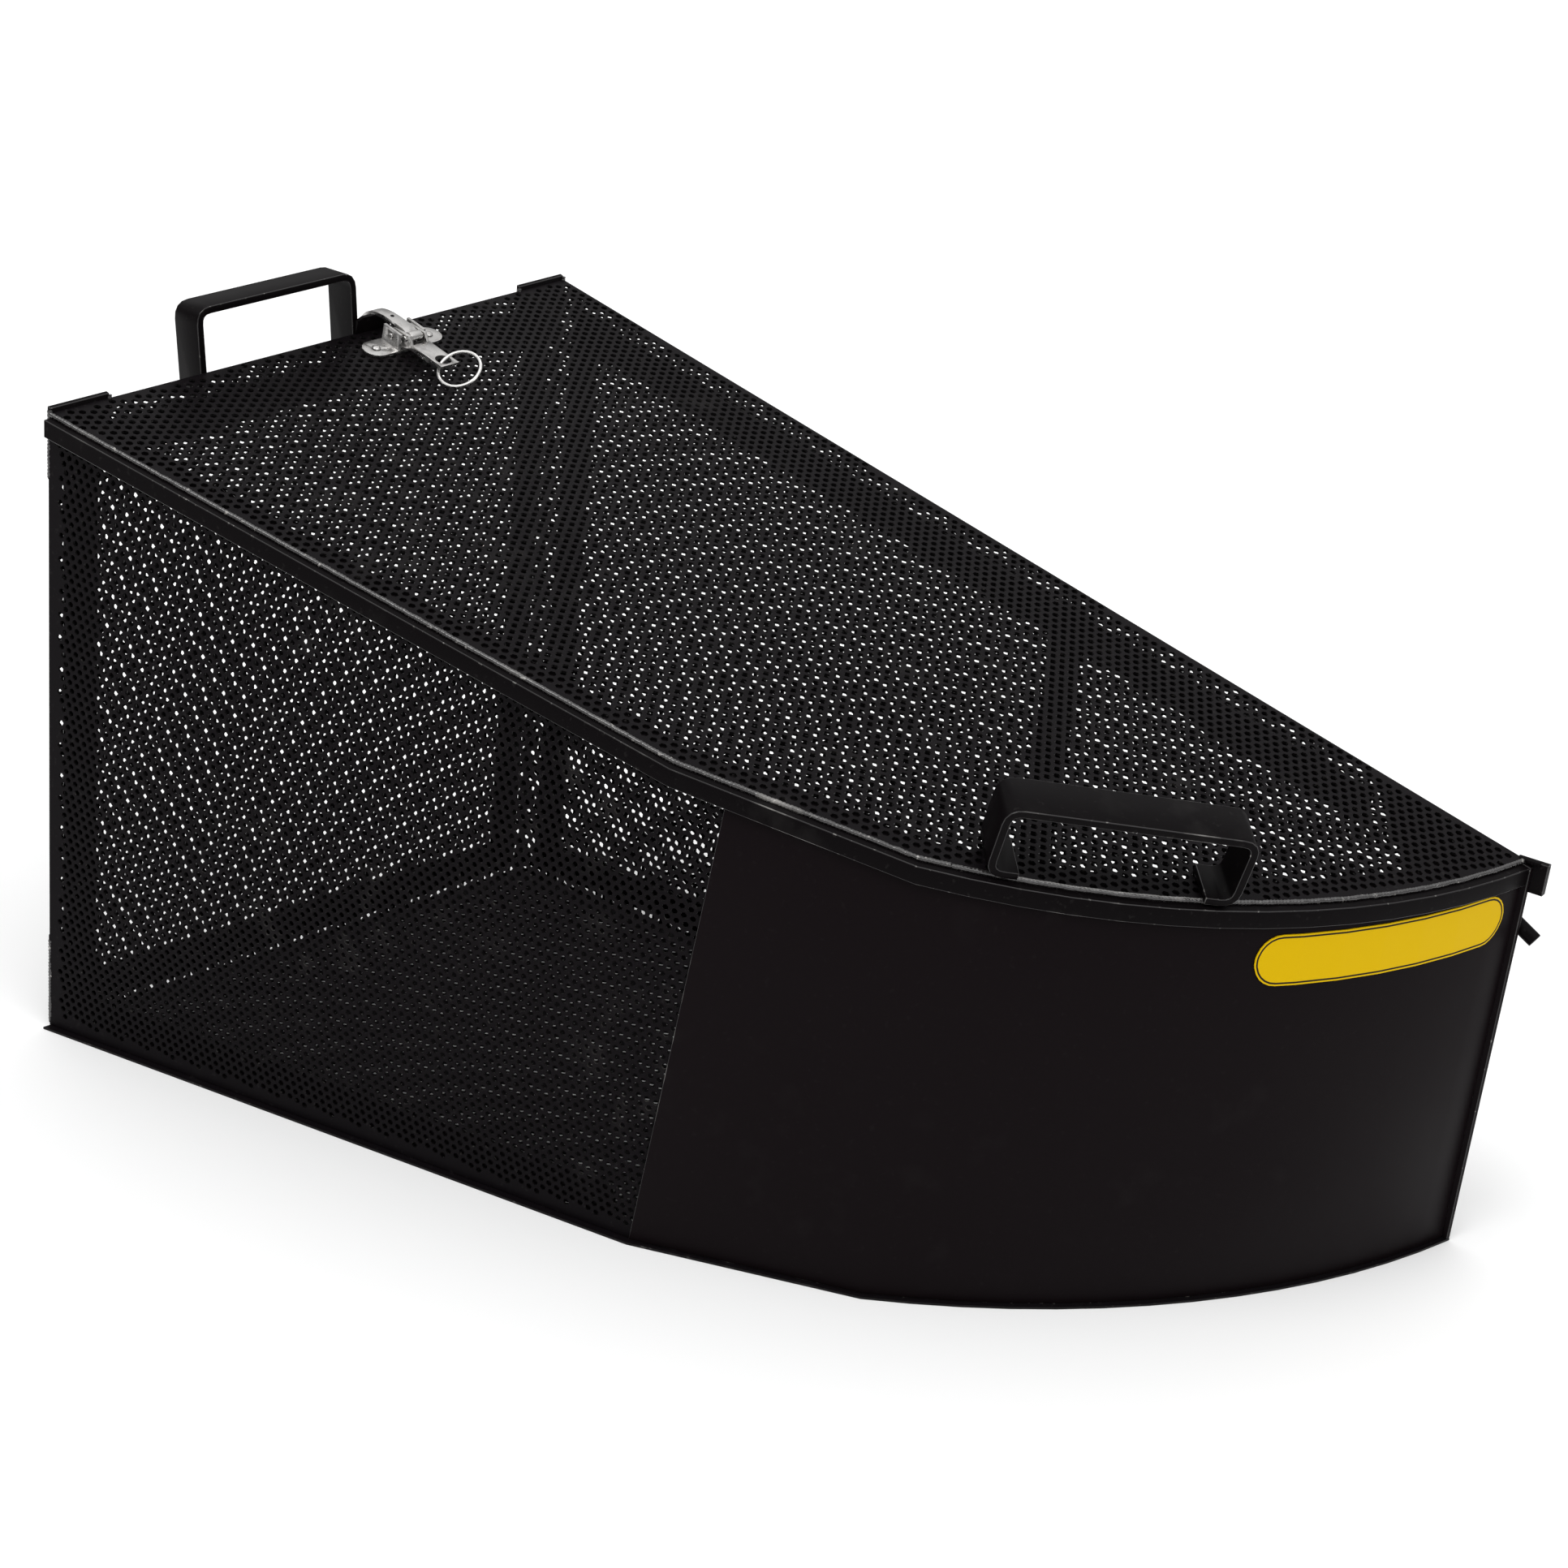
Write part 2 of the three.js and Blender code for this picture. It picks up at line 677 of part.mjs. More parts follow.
// The rear handle is a plain U, welded by the edges of its legs to the
// outside of the rear wall. The legs' lower corners are cut off.
function rearHandle({ length, height, width, down, chamfer }) {
  const half = (length - HANDLE_BAR) / 2;
  const high = height - HANDLE_BAR / 2;
  const points = [vec(half, -down), vec(half, high), vec(-half, high), vec(-half, -down)];
  const g = extrudeShape(strapOutline(points, HANDLE_BEND, HANDLE_BAR), width);
  g.rotateX(Math.PI / 2);
  g.rotateZ(Math.PI / 2);
  const cut = extrudeShape([
    vec(-1, -down - 1),
    vec(chamfer, -down - 1),
    vec(-1, -down + chamfer),
  ], length * 2);
  cut.rotateX(Math.PI / 2);
  cut.translate(0, length, 0);
  return fromSolid(solid(g).subtract(solid(cut)));
}

// A strap handle with its feet turned in, standing on z = 0, along Y.
function strapHandle({ length, height, width }) {
  const half = (length - HANDLE_BAR) / 2;
  const low = HANDLE_BAR / 2;
  const high = height - HANDLE_BAR / 2;
  const points = [
    vec(half - HANDLE_FOOT, low),
    vec(half, low),
    vec(half, high),
    vec(-half, high),
    vec(-half, low),
    vec(-half + HANDLE_FOOT, low),
  ];
  const g = extrudeShape(strapOutline(points, HANDLE_BEND, HANDLE_BAR), width);
  g.rotateX(Math.PI / 2);
  g.rotateZ(Math.PI / 2);
  return g;
}

// Hitch pin and the pieces that hold it, on the outside of the front plate.
function hitchPin() {
  const g = new THREE.CylinderGeometry(PIN_RADIUS, PIN_RADIUS, PIN_LENGTH, 16);
  g.rotateZ(-Math.PI / 2);
  g.translate(-PIN_LENGTH / 2, 0, 0);
  return g;
}

function hitchSocket() {
  const size = (PIN_RADIUS + SOCKET_WALL) * 2;
  const block = solid(new THREE.BoxGeometry(SOCKET_LENGTH, size, size));
  const hole = new THREE.CylinderGeometry(
    PIN_RADIUS + GAP, PIN_RADIUS + GAP, SOCKET_LENGTH * 2, 16);
  hole.rotateZ(-Math.PI / 2);
  const g = fromSolid(block.subtract(solid(hole)));
  g.translate(SOCKET_LENGTH / 2 - PIN_LENGTH + SOCKET_BACK, 0, 0);
  return g;
}

function lengthOf(chain) {
  let sum = 0;
  for (let i = 0; i + 1 < chain.length; i++) {
    sum += chain[i].distanceTo(chain[i + 1]);
  }
  return sum;
}

// Plain field with round ends that follows the rolled front.
function field() {
  const stop = FRONT_PLATE_BAR + GAP;
  const far = insetChain(DEFLECTOR_INSET - GAP, 0, stop).slice(2);
  const near = insetChain(DEFLECTOR_INSET - GAP - FIELD_SHEET, 0, stop).slice(2);
  const total = lengthOf(far);
  const to = total - FIELD_END;
  const from = to - FIELD_LENGTH;
  const radius = FIELD_HEIGHT / 2;
  const places = [];
  for (let i = 0; i <= FIELD_STEPS; i++) {
    const d = radius * (1 - Math.cos(rad(90 * (i / FIELD_STEPS))));
    places.push(from + d, to - d);
  }
  let run = 0;
  const starts = far.map((p, i) => {
    run += i ? p.distanceTo(far[i - 1]) : 0;
    return run;
  });
  for (const s of starts) {
    if (s > from + radius + 1 && s < to - radius - 1) {
      places.push(s);
    }
  }
  places.sort((a, b) => a - b);
  const sections = places.map((s) => {
    let k = 0;
    while (k + 2 < starts.length && starts[k + 1] <= s) {
      k += 1;
    }
    const t = (s - starts[k]) / (starts[k + 1] - starts[k]);
    const a = near[k].clone().lerp(near[k + 1], t);
    const b = far[k].clone().lerp(far[k + 1], t);
    const w = (s - from) / FIELD_LENGTH;
    const reach = Math.min(s - from, to - s, radius);
    const bow = Math.sqrt(radius * radius - (radius - reach) ** 2);
    const half = Math.max(bow, FIELD_BLUNT);
    const middle = FIELD_DROP_FROM + (FIELD_DROP_TO - FIELD_DROP_FROM) * w + radius;
    return [
      new THREE.Vector3(a.x, a.y, top(a) - middle - half),
      new THREE.Vector3(a.x, a.y, top(a) - middle + half),
      new THREE.Vector3(b.x, b.y, top(b) - middle + half),
      new THREE.Vector3(b.x, b.y, top(b) - middle - half),
    ];
  });
  return closedSkin(sections, [vec(0, 0), vec(1, 0), vec(1, 1), vec(0, 1)]);
}

// Latch pieces.
function latchBase() {
  const half = LATCH_PLATE_WIDTH / 2;
  const straight = LATCH_PLATE_LENGTH / 2 - half;
  const outline = [];
  for (let i = 0; i <= 8; i++) {
    const a = rad(180 * (i / 8));
    outline.push(vec(half * Math.cos(a), straight + half * Math.sin(a)));
  }
  for (let i = 0; i <= 8; i++) {
    const a = rad(180 + 180 * (i / 8));
    outline.push(vec(half * Math.cos(a), -straight + half * Math.sin(a)));
  }
  const plate = extrudeShape(outline, LATCH_SHEET);
  plate.translate(PIVOT_X, 0, 0);
  let body = solid(plate);
  const x0 = PIVOT_X - CHEEK_LENGTH / 2;
  const x1 = PIVOT_X + CHEEK_LENGTH / 2;
  const out = CHEEK_INSIDE + LATCH_SHEET;
  const reach = LATCH_SHEET / 2;
  body = body.add(solid(box(x0, x1, CHEEK_INSIDE, out, reach, CHEEK_HEIGHT)));
  body = body.add(solid(box(x0, x1, -out, -CHEEK_INSIDE, reach, CHEEK_HEIGHT)));
  const bore = barAlongY(PIVOT_RADIUS + RUN, -out * 2, out * 2, PIVOT_X, PIVOT_Z, 12);
  body = body.subtract(solid(bore));
  for (const y of [-straight, straight]) {
    const hole = new THREE.CylinderGeometry(LATCH_EAR_HOLE, LATCH_EAR_HOLE, PIVOT_Z, 12);
    hole.rotateX(Math.PI / 2);
    hole.translate(PIVOT_X, y, 0);
    body = body.subtract(solid(hole));
  }
  return fromSolid(body);
}

function leverSide(y0) {
  const g = extrudeShape([
    vec(PIVOT_X - 5, PIVOT_Z - 4),
    vec(PIVOT_X + 4, PIVOT_Z - 6),
    vec(LEVER_GRIP_FROM, LEVER_LOW),
    vec(LEVER_SIDE_TO, LEVER_LOW),
    vec(LEVER_SIDE_TO, LEVER_TOP - LATCH_SHEET / 2),
    vec(LEVER_GRIP_FROM, LEVER_TOP - LATCH_SHEET / 2),
    vec(HOOK_PIN_X + 4, HOOK_PIN_Z + 4),
    vec(PIVOT_X - 2, PIVOT_Z + 5),
    vec(PIVOT_X - 6, PIVOT_Z + 2),
  ], LATCH_SHEET);
  g.rotateX(Math.PI / 2);
  g.translate(0, y0 + LATCH_SHEET, 0);
  return g;
}

function latchLever() {
  const out = LEVER_INSIDE + LATCH_SHEET;
  let body = solid(leverSide(LEVER_INSIDE));
  body = body.add(solid(leverSide(-out)));
  const grip = box(LEVER_GRIP_FROM, LEVER_TIP, -out, out, LEVER_TOP - LATCH_SHEET, LEVER_TOP);
  body = body.add(solid(grip));
  const holes = [
    barAlongY(PIVOT_RADIUS + RUN, -out * 2, out * 2, PIVOT_X, PIVOT_Z, 12),
    barAlongY(PIVOT_RADIUS + RUN, -out * 2, out * 2, HOOK_PIN_X, HOOK_PIN_Z, 12),
  ];
  const eye = new THREE.CylinderGeometry(RING_HOLE, RING_HOLE, PIVOT_Z, RING_HOLE_SIDES);
  eye.rotateX(Math.PI / 2);
  eye.translate(RING_HOLE_X, 0, LEVER_TOP - LATCH_SHEET / 2);
  holes.push(eye);
  for (const hole of holes) {
    body = body.subtract(solid(hole));
  }
  return fromSolid(body);
}

// The hook arm: from its pin, over the pivot, and in an arch back past the rear
// edge and down.
function latchHook() {
  const high = HOOK_PIN_Z + HOOK_RISE - HOOK_BAR / 2;
  const corner = vec(-HOOK_REACH, high);
  const low = vec(-HOOK_REACH, -HOOK_DROP / 2);
  const arch = new THREE.QuadraticBezierCurve(vec(HOOK_ARCH, high), corner, low)
    .getPoints(HOOK_STEPS);
  const path = [
    vec(HOOK_PIN_X, HOOK_PIN_Z),
    vec(HOOK_PIN_X - HOOK_RUN, high),
    ...arch,
    vec(-HOOK_REACH, -HOOK_DROP),
    vec(-HOOK_REACH + HOOK_LIP, -HOOK_DROP),
  ];
  const arm = extrudeShape(strapOutline(path, HOOK_BEND, HOOK_BAR), HOOK_HALF * 2);
  arm.rotateX(Math.PI / 2);
  arm.translate(0, HOOK_HALF, 0);
  let body = solid(arm);
  const eye = barAlongY(HOOK_EYE, -HOOK_HALF, HOOK_HALF, HOOK_PIN_X, HOOK_PIN_Z);
  body = body.add(solid(eye));
  const out = HOOK_HALF * 2;
  const bore = barAlongY(PIVOT_RADIUS + RUN, -out, out, HOOK_PIN_X, HOOK_PIN_Z, 12);
  return fromSolid(body.subtract(solid(bore)));
}

// The ring hangs in the eye at the end of the lever.
function ring() {
  const angle = rad(RING_TILT);
  const g = new THREE.TorusGeometry(RING_RADIUS, RING_WIRE, 8, 28);
  g.rotateX(Math.PI / 2);
  g.translate(RING_RADIUS * Math.cos(angle), 0, RING_RADIUS * Math.sin(angle));
  g.rotateX(rad(-RING_TURN));
  g.translate(RING_HOLE_X, 0, LEVER_TOP - LATCH_SHEET / 2);
  return g;
}

function rivet() {
  const steps = 6;
  const profile = [vec(0, 0), vec(RIVET_RADIUS, 0)];
  for (let i = 1; i <= steps; i++) {
    const a = rad(90 * (i / steps));
    const x = i === steps ? 0 : RIVET_RADIUS * Math.cos(a);
    profile.push(vec(x, RIVET_HEIGHT * Math.sin(a)));
  }
  const g = new THREE.LatheGeometry(profile, 16);
  g.rotateX(Math.PI / 2);
  return g;
}

// Sheets and rim.
const END = CHAIN.length - 1;
add("floor_panel", floorPanel(), mattBlack());
add("top_panel", topPanel(), mattBlack());
add("rear_wall", rearWall(), mattBlack());
add("inner_wall_rear", innerWallRear(), mattBlack());
add("inner_wall_front", innerWallFront(), mattBlack());
add("front_plate", frontPlate(), blackCoat());
add("outer_wall_mesh", outerWallMesh(), mattBlack());
add("deflector", deflector(), blackCoat());
add("top_rim", rim(0, END), blackCoat());

// Frame bars: rear wall, mower side, flat outer side.
const rearTo = REAR_LENGTH - CORNER - BAR_WIDTH;
const rearFirst = CORNER + BAR_WIDTH + GAP;
const rearLast = rearTo - GAP;
add("rear_post_inner", post(onRear, CORNER), blackCoat());
add("rear_post_outer", post(onRear, rearTo), blackCoat());
add("rear_rail_top", railTop(onRear, rearFirst, rearLast), blackCoat());
add("rear_rail_bottom", railBottom(onRear, rearFirst, rearLast), blackCoat());
const midPost = MID_POST - BAR_WIDTH / 2;
const innerFirst = CORNER + BAR_WIDTH + GAP;
const innerFront = INNER_LENGTH - GUSSET - GAP;
add("inner_post_rear", post(onInner, CORNER), blackCoat());
add("inner_post_mid", post(onInner, midPost), blackCoat());
add("inner_rail_top_rear", railTop(onInner, innerFirst, midPost - GAP), blackCoat());
add("inner_rail_bottom", railBottom(onInner, innerFirst, midPost - GAP), blackCoat());
const frontFirst = midPost + BAR_WIDTH + GAP;
add("inner_rail_top_front", railTop(onInner, frontFirst, innerFront), blackCoat());
const inletBar = () => INLET_HEIGHT + BAR_WIDTH;
const inletTo = INNER_LENGTH - FRONT_POST - GAP;
const inletRail = onInner(
  frontFirst, inletTo, BAR_NEAR, BAR_FAR, () => INLET_HEIGHT, inletBar);
add("inlet_rail", inletRail, blackCoat());
const outerNear = MESH_FAR + GAP;
const outerRail = railBottom(onOuter, CORNER, OUTER_LENGTH - CORNER, outerNear);
add("outer_rail_bottom", outerRail, blackCoat());

// Rear corner plates.
const plateLow = (p) => top(p) - CORNER_PLATE;
const plateHigh = (p) => top(p) + PLATE_RISE;
const edge = MESH_FAR;
add("corner_plate_top_outer",
  cornerPlate(REAR_LENGTH - edge - CORNER_PLATE, REAR_LENGTH - edge, plateLow, plateHigh),
  blackCoat());
add("corner_plate_top_inner", cornerPlate(0, CORNER_PLATE, plateLow, plateHigh), blackCoat());
add("corner_plate_low_outer",
  cornerPlate(REAR_LENGTH - edge - LOWER_TAB, REAR_LENGTH - edge, floorTop,
    () => LOWER_TAB_HEIGHT),
  blackCoat());

// Handles. The rear one stands in the plane of the rear wall.
function placeRearHandle() {
  const across = vec(ALONG_REAR.y, -ALONG_REAR.x);
  const rise = SLOPE.x * ALONG_REAR.x + SLOPE.y * ALONG_REAR.y;
  const x = new THREE.Vector3(across.x, across.y, 0);
  const y = new THREE.Vector3(ALONG_REAR.x, ALONG_REAR.y, rise).normalize();
  const z = x.clone().cross(y);
  const group = new THREE.Group();
  group.quaternion.setFromRotationMatrix(new THREE.Matrix4().makeBasis(x, y, z));
  group.position.set(0, 0, HEIGHT_REAR_OUTER);
  catcher.add(group);
  const mesh = add("rear_handle", rearHandle(REAR_HANDLE), blackCoat(), group);
  const along = REAR_HANDLE.from + REAR_HANDLE.length / 2;
  mesh.position.set(-REAR_HANDLE.width - GAP, along, 0);
}
placeRearHandle();

function placeFrontHandle() {
  const roll = CHAIN.slice(2);
  const at = FRONT_HANDLE.along * (roll.length - 1);
  const k = Math.floor(at);
  const middle = roll[k].clone().lerp(roll[k + 1], at - k);
  const along = roll[k + 1].clone().sub(roll[k]).normalize();
  const group = onTop(middle, along.clone().negate());
  const mesh = add("front_handle", strapHandle(FRONT_HANDLE), blackCoat(), group);
  const half = FRONT_HANDLE.length / 2;
  const radius = rollRadius();
  const sagitta = radius - Math.sqrt(radius * radius - half * half);
  mesh.position.set(sagitta + FRONT_HANDLE.inset, 0, GAP);
}
placeFrontHandle();

// Field on the rolled front.
add("side_field", field(), yellow());

// Hitch at the tip, on the outside of the front plate.
function placeHitch() {
  const outward = vec(-ALONG_INNER.y, ALONG_INNER.x);
  const end = TIP.clone().addScaledVector(ALONG_INNER, PIN_OUT);
  end.addScaledVector(outward, PIN_RADIUS + SOCKET_WALL + GAP);
  const turned = new THREE.Group();
  turned.position.set(end.x, end.y, HEIGHT_TIP - PIN_DROP);
  turned.rotation.z = Math.atan2(ALONG_INNER.y, ALONG_INNER.x);
  catcher.add(turned);
  const tilted = new THREE.Group();
  tilted.rotation.y = rad(PIN_TILT);
  turned.add(tilted);
  add("hitch_pin", hitchPin(), blackCoat(), tilted);
  add("hitch_socket", hitchSocket(), blackCoat(), tilted);
  const lug = new THREE.BoxGeometry(LUG_REAR + LUG_FRONT, LUG_BAR, LUG_HEIGHT);
  const at = TIP.clone().addScaledVector(outward, LUG_BAR / 2 + GAP);
  at.addScaledVector(ALONG_INNER, (LUG_FRONT - LUG_REAR) / 2);
  const tip = add("tip_lug", lug, blackCoat());
  tip.position.set(at.x, at.y, HEIGHT_TIP - LUG_HEIGHT / 2 + SHEET);
  tip.rotation.z = turned.rotation.z;
}
placeHitch();

// Toggle latch.
function placeLatch() {
  const group = onTop(ALONG_REAR.clone().multiplyScalar(LATCH_AT), ALONG_REAR);
  const inner = new THREE.Group();
  inner.position.set(LATCH_IN, 0, GAP);
  group.add(inner);
  add("latch_base", latchBase(), zinc(), inner);
  const outBase = CHEEK_INSIDE + LATCH_SHEET + PIVOT_HEAD;
  add("latch_pivot", barAlongY(PIVOT_RADIUS, -outBase, outBase, PIVOT_X, PIVOT_Z), zinc(), inner);
  add("latch_lever", latchLever(), zinc(), inner);
  const outLever = LEVER_INSIDE + LATCH_SHEET + HOOK_PIN_HEAD;
  const pin = barAlongY(PIVOT_RADIUS, -outLever, outLever, HOOK_PIN_X, HOOK_PIN_Z);
  add("latch_hook_pin", pin, zinc(), inner);
  add("latch_hook", latchHook(), zinc(), inner);
  add("pull_ring", ring(), zinc(), inner);
  const straight = LATCH_PLATE_LENGTH / 2 - LATCH_PLATE_WIDTH / 2;
  const names = ["latch_rivet_outer", "latch_rivet_inner"];
  [-straight, straight].forEach((y, i) => {
    const mesh = add(names[i], rivet(), zinc(), inner);
    mesh.position.set(PIVOT_X, y, LATCH_SHEET + GAP);
  });
}
placeLatch();

// The origin: middle of the overall box, on the ground.
catcher.updateMatrixWorld(true);
const whole = new THREE.Box3().setFromObject(catcher, true);
const centre = whole.getCenter(new THREE.Vector3());
catcher.position.set(-centre.x, -centre.y, 0);
catcher.updateMatrixWorld(true);

export default catcher;
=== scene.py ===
"""Looks of a steel grass catcher for a side discharge mower.

Metres, +Z up. X runs from the rear wall to the pointed front, Y from the outer
side to the mower side. Perforated sheets, powder coat, bright zinc and weld
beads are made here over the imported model.
"""
import logging
import math
from dataclasses import dataclass, field
from enum import Enum

import bmesh
import bpy
import numpy as np
from bpy.types import Material, Mesh, Node, NodeSocket, NodeTree, Object
from mathutils import Matrix, Vector


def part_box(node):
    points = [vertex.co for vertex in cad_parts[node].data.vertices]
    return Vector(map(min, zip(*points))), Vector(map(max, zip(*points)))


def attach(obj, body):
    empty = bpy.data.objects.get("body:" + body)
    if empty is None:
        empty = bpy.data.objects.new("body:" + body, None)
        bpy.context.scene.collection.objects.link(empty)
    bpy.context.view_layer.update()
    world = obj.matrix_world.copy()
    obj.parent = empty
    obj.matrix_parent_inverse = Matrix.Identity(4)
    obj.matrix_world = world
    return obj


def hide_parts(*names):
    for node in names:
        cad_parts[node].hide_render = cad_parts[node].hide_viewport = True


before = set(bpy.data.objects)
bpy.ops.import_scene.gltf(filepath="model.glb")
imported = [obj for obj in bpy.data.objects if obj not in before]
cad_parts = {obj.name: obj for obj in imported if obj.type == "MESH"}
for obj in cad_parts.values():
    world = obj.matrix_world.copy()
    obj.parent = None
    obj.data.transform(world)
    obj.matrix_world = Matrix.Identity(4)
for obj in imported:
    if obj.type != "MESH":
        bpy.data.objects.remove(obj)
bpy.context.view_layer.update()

log = logging.getLogger("grass_catcher")
logging.basicConfig(level=logging.INFO, format="%(name)s: %(message)s")

MM = 0.001
ROOT = "catcher"
ROW_STEP = math.sin(math.radians(60))  # from one row of holes to the next, in pitches
MERGE = 0.01 * MM
BUMP_DEPTH = 0.3 * MM
ALONG = 0.9  # least cosine between a face and the direction that it looks in
TOP_FACE = Vector((0.25, -0.15, 1))  # roughly where the top sheet faces
REARWARD = Vector((-1, 0, 0))
MIX_A, MIX_B, MIX_RESULT = 6, 7, 2  # the Mix node's colour sockets


class Slot(Enum):
    """Names of the material slots."""

    PERFORATED = "perforated_sheet"
    COAT = "black_coat"
    ZINC = "zinc"
    YELLOW = "yellow_field"


def new_node(tree: NodeTree, kind: str, inputs: dict | None = None,
             **settings: object) -> Node:
    """Adds a node, sets its properties and feeds its inputs.

    Args:
        tree: The node tree that takes the node.
        kind: Blender's name of the node type.
        inputs: Sockets to link, or plain values, by the input's name or number.
        **settings: Properties to set on the node.

    Returns:
        The new node.
    """
    node = tree.nodes.new(kind)
    for name, value in settings.items():
        setattr(node, name, value)
    for key, value in (inputs or {}).items():
        if isinstance(value, NodeSocket):
            tree.links.new(value, node.inputs[key])
        else:
            node.inputs[key].default_value = value
    return node


def add_socket(tree: NodeTree, name: str, way: str, kind: str,
               value: object = None) -> object:
    """Adds a named socket to a node group.

    Args:
        tree: The group.
        name: The socket's name.
        way: INPUT or OUTPUT.
        kind: Float, Color, Vector, Int, Geometry or Material.
        value: Its default, if it has one.

    Returns:
        The interface socket.
    """
    socket = tree.interface.new_socket(name=name, in_out=way, socket_type="NodeSocket" + kind)
    if value is not None:
        socket.default_value = value
    return socket


def math_node(tree: NodeTree, operation: str, *values: object) -> object:
    """Adds a Math node over numbers or sockets and returns its output."""
    inputs = dict(enumerate(values))
    return new_node(tree, "ShaderNodeMath", inputs, operation=operation).outputs[0]


def map_range(tree: NodeTree, source: object, low: float, high: float,
              to_low: object = 0.0, to_high: object = 1.0) -> object:
    """Maps a value from one range to another, clamped.

    Args:
        tree: The node tree.
        source: The value's socket.
        low: Start of the source range.
        high: End of the source range.
        to_low: Result at low, a number or a socket.
        to_high: Result at high, a number or a socket.

    Returns:
        The output socket.
    """
    inputs = dict(enumerate((source, low, high, to_low, to_high)))
    return new_node(tree, "ShaderNodeMapRange", inputs).outputs[0]


def noise_node(tree: NodeTree, vector: object, scale: float, detail: float) -> object:
    """Adds a noise texture.

    Args:
        tree: The node tree.
        vector: The socket that gives its coordinates.
        scale: Its scale.
        detail: Number of octaves.

    Returns:
        The socket of its factor.
    """
    inputs = {"Vector": vector, "Scale": scale, "Detail": detail}
    return new_node(tree, "ShaderNodeTexNoise", inputs).outputs["Fac"]


def mix_node(tree: NodeTree, factor: object, a: object, b: object) -> object:
    """Adds a mix of two colours or colour sockets and returns its output."""
    inputs = {0: factor, MIX_A: a, MIX_B: b}
    return new_node(tree, "ShaderNodeMix", inputs, data_type="RGBA").outputs[MIX_RESULT]


def new_material(name: str) -> tuple:
    """Makes a material.

    Args:
        name: Its name.

    Returns:
        The material, its node tree and its Principled shader.
    """
    material = bpy.data.materials.new(name)
    material.use_nodes = True
    return material, material.node_tree, material.node_tree.nodes["Principled BSDF"]


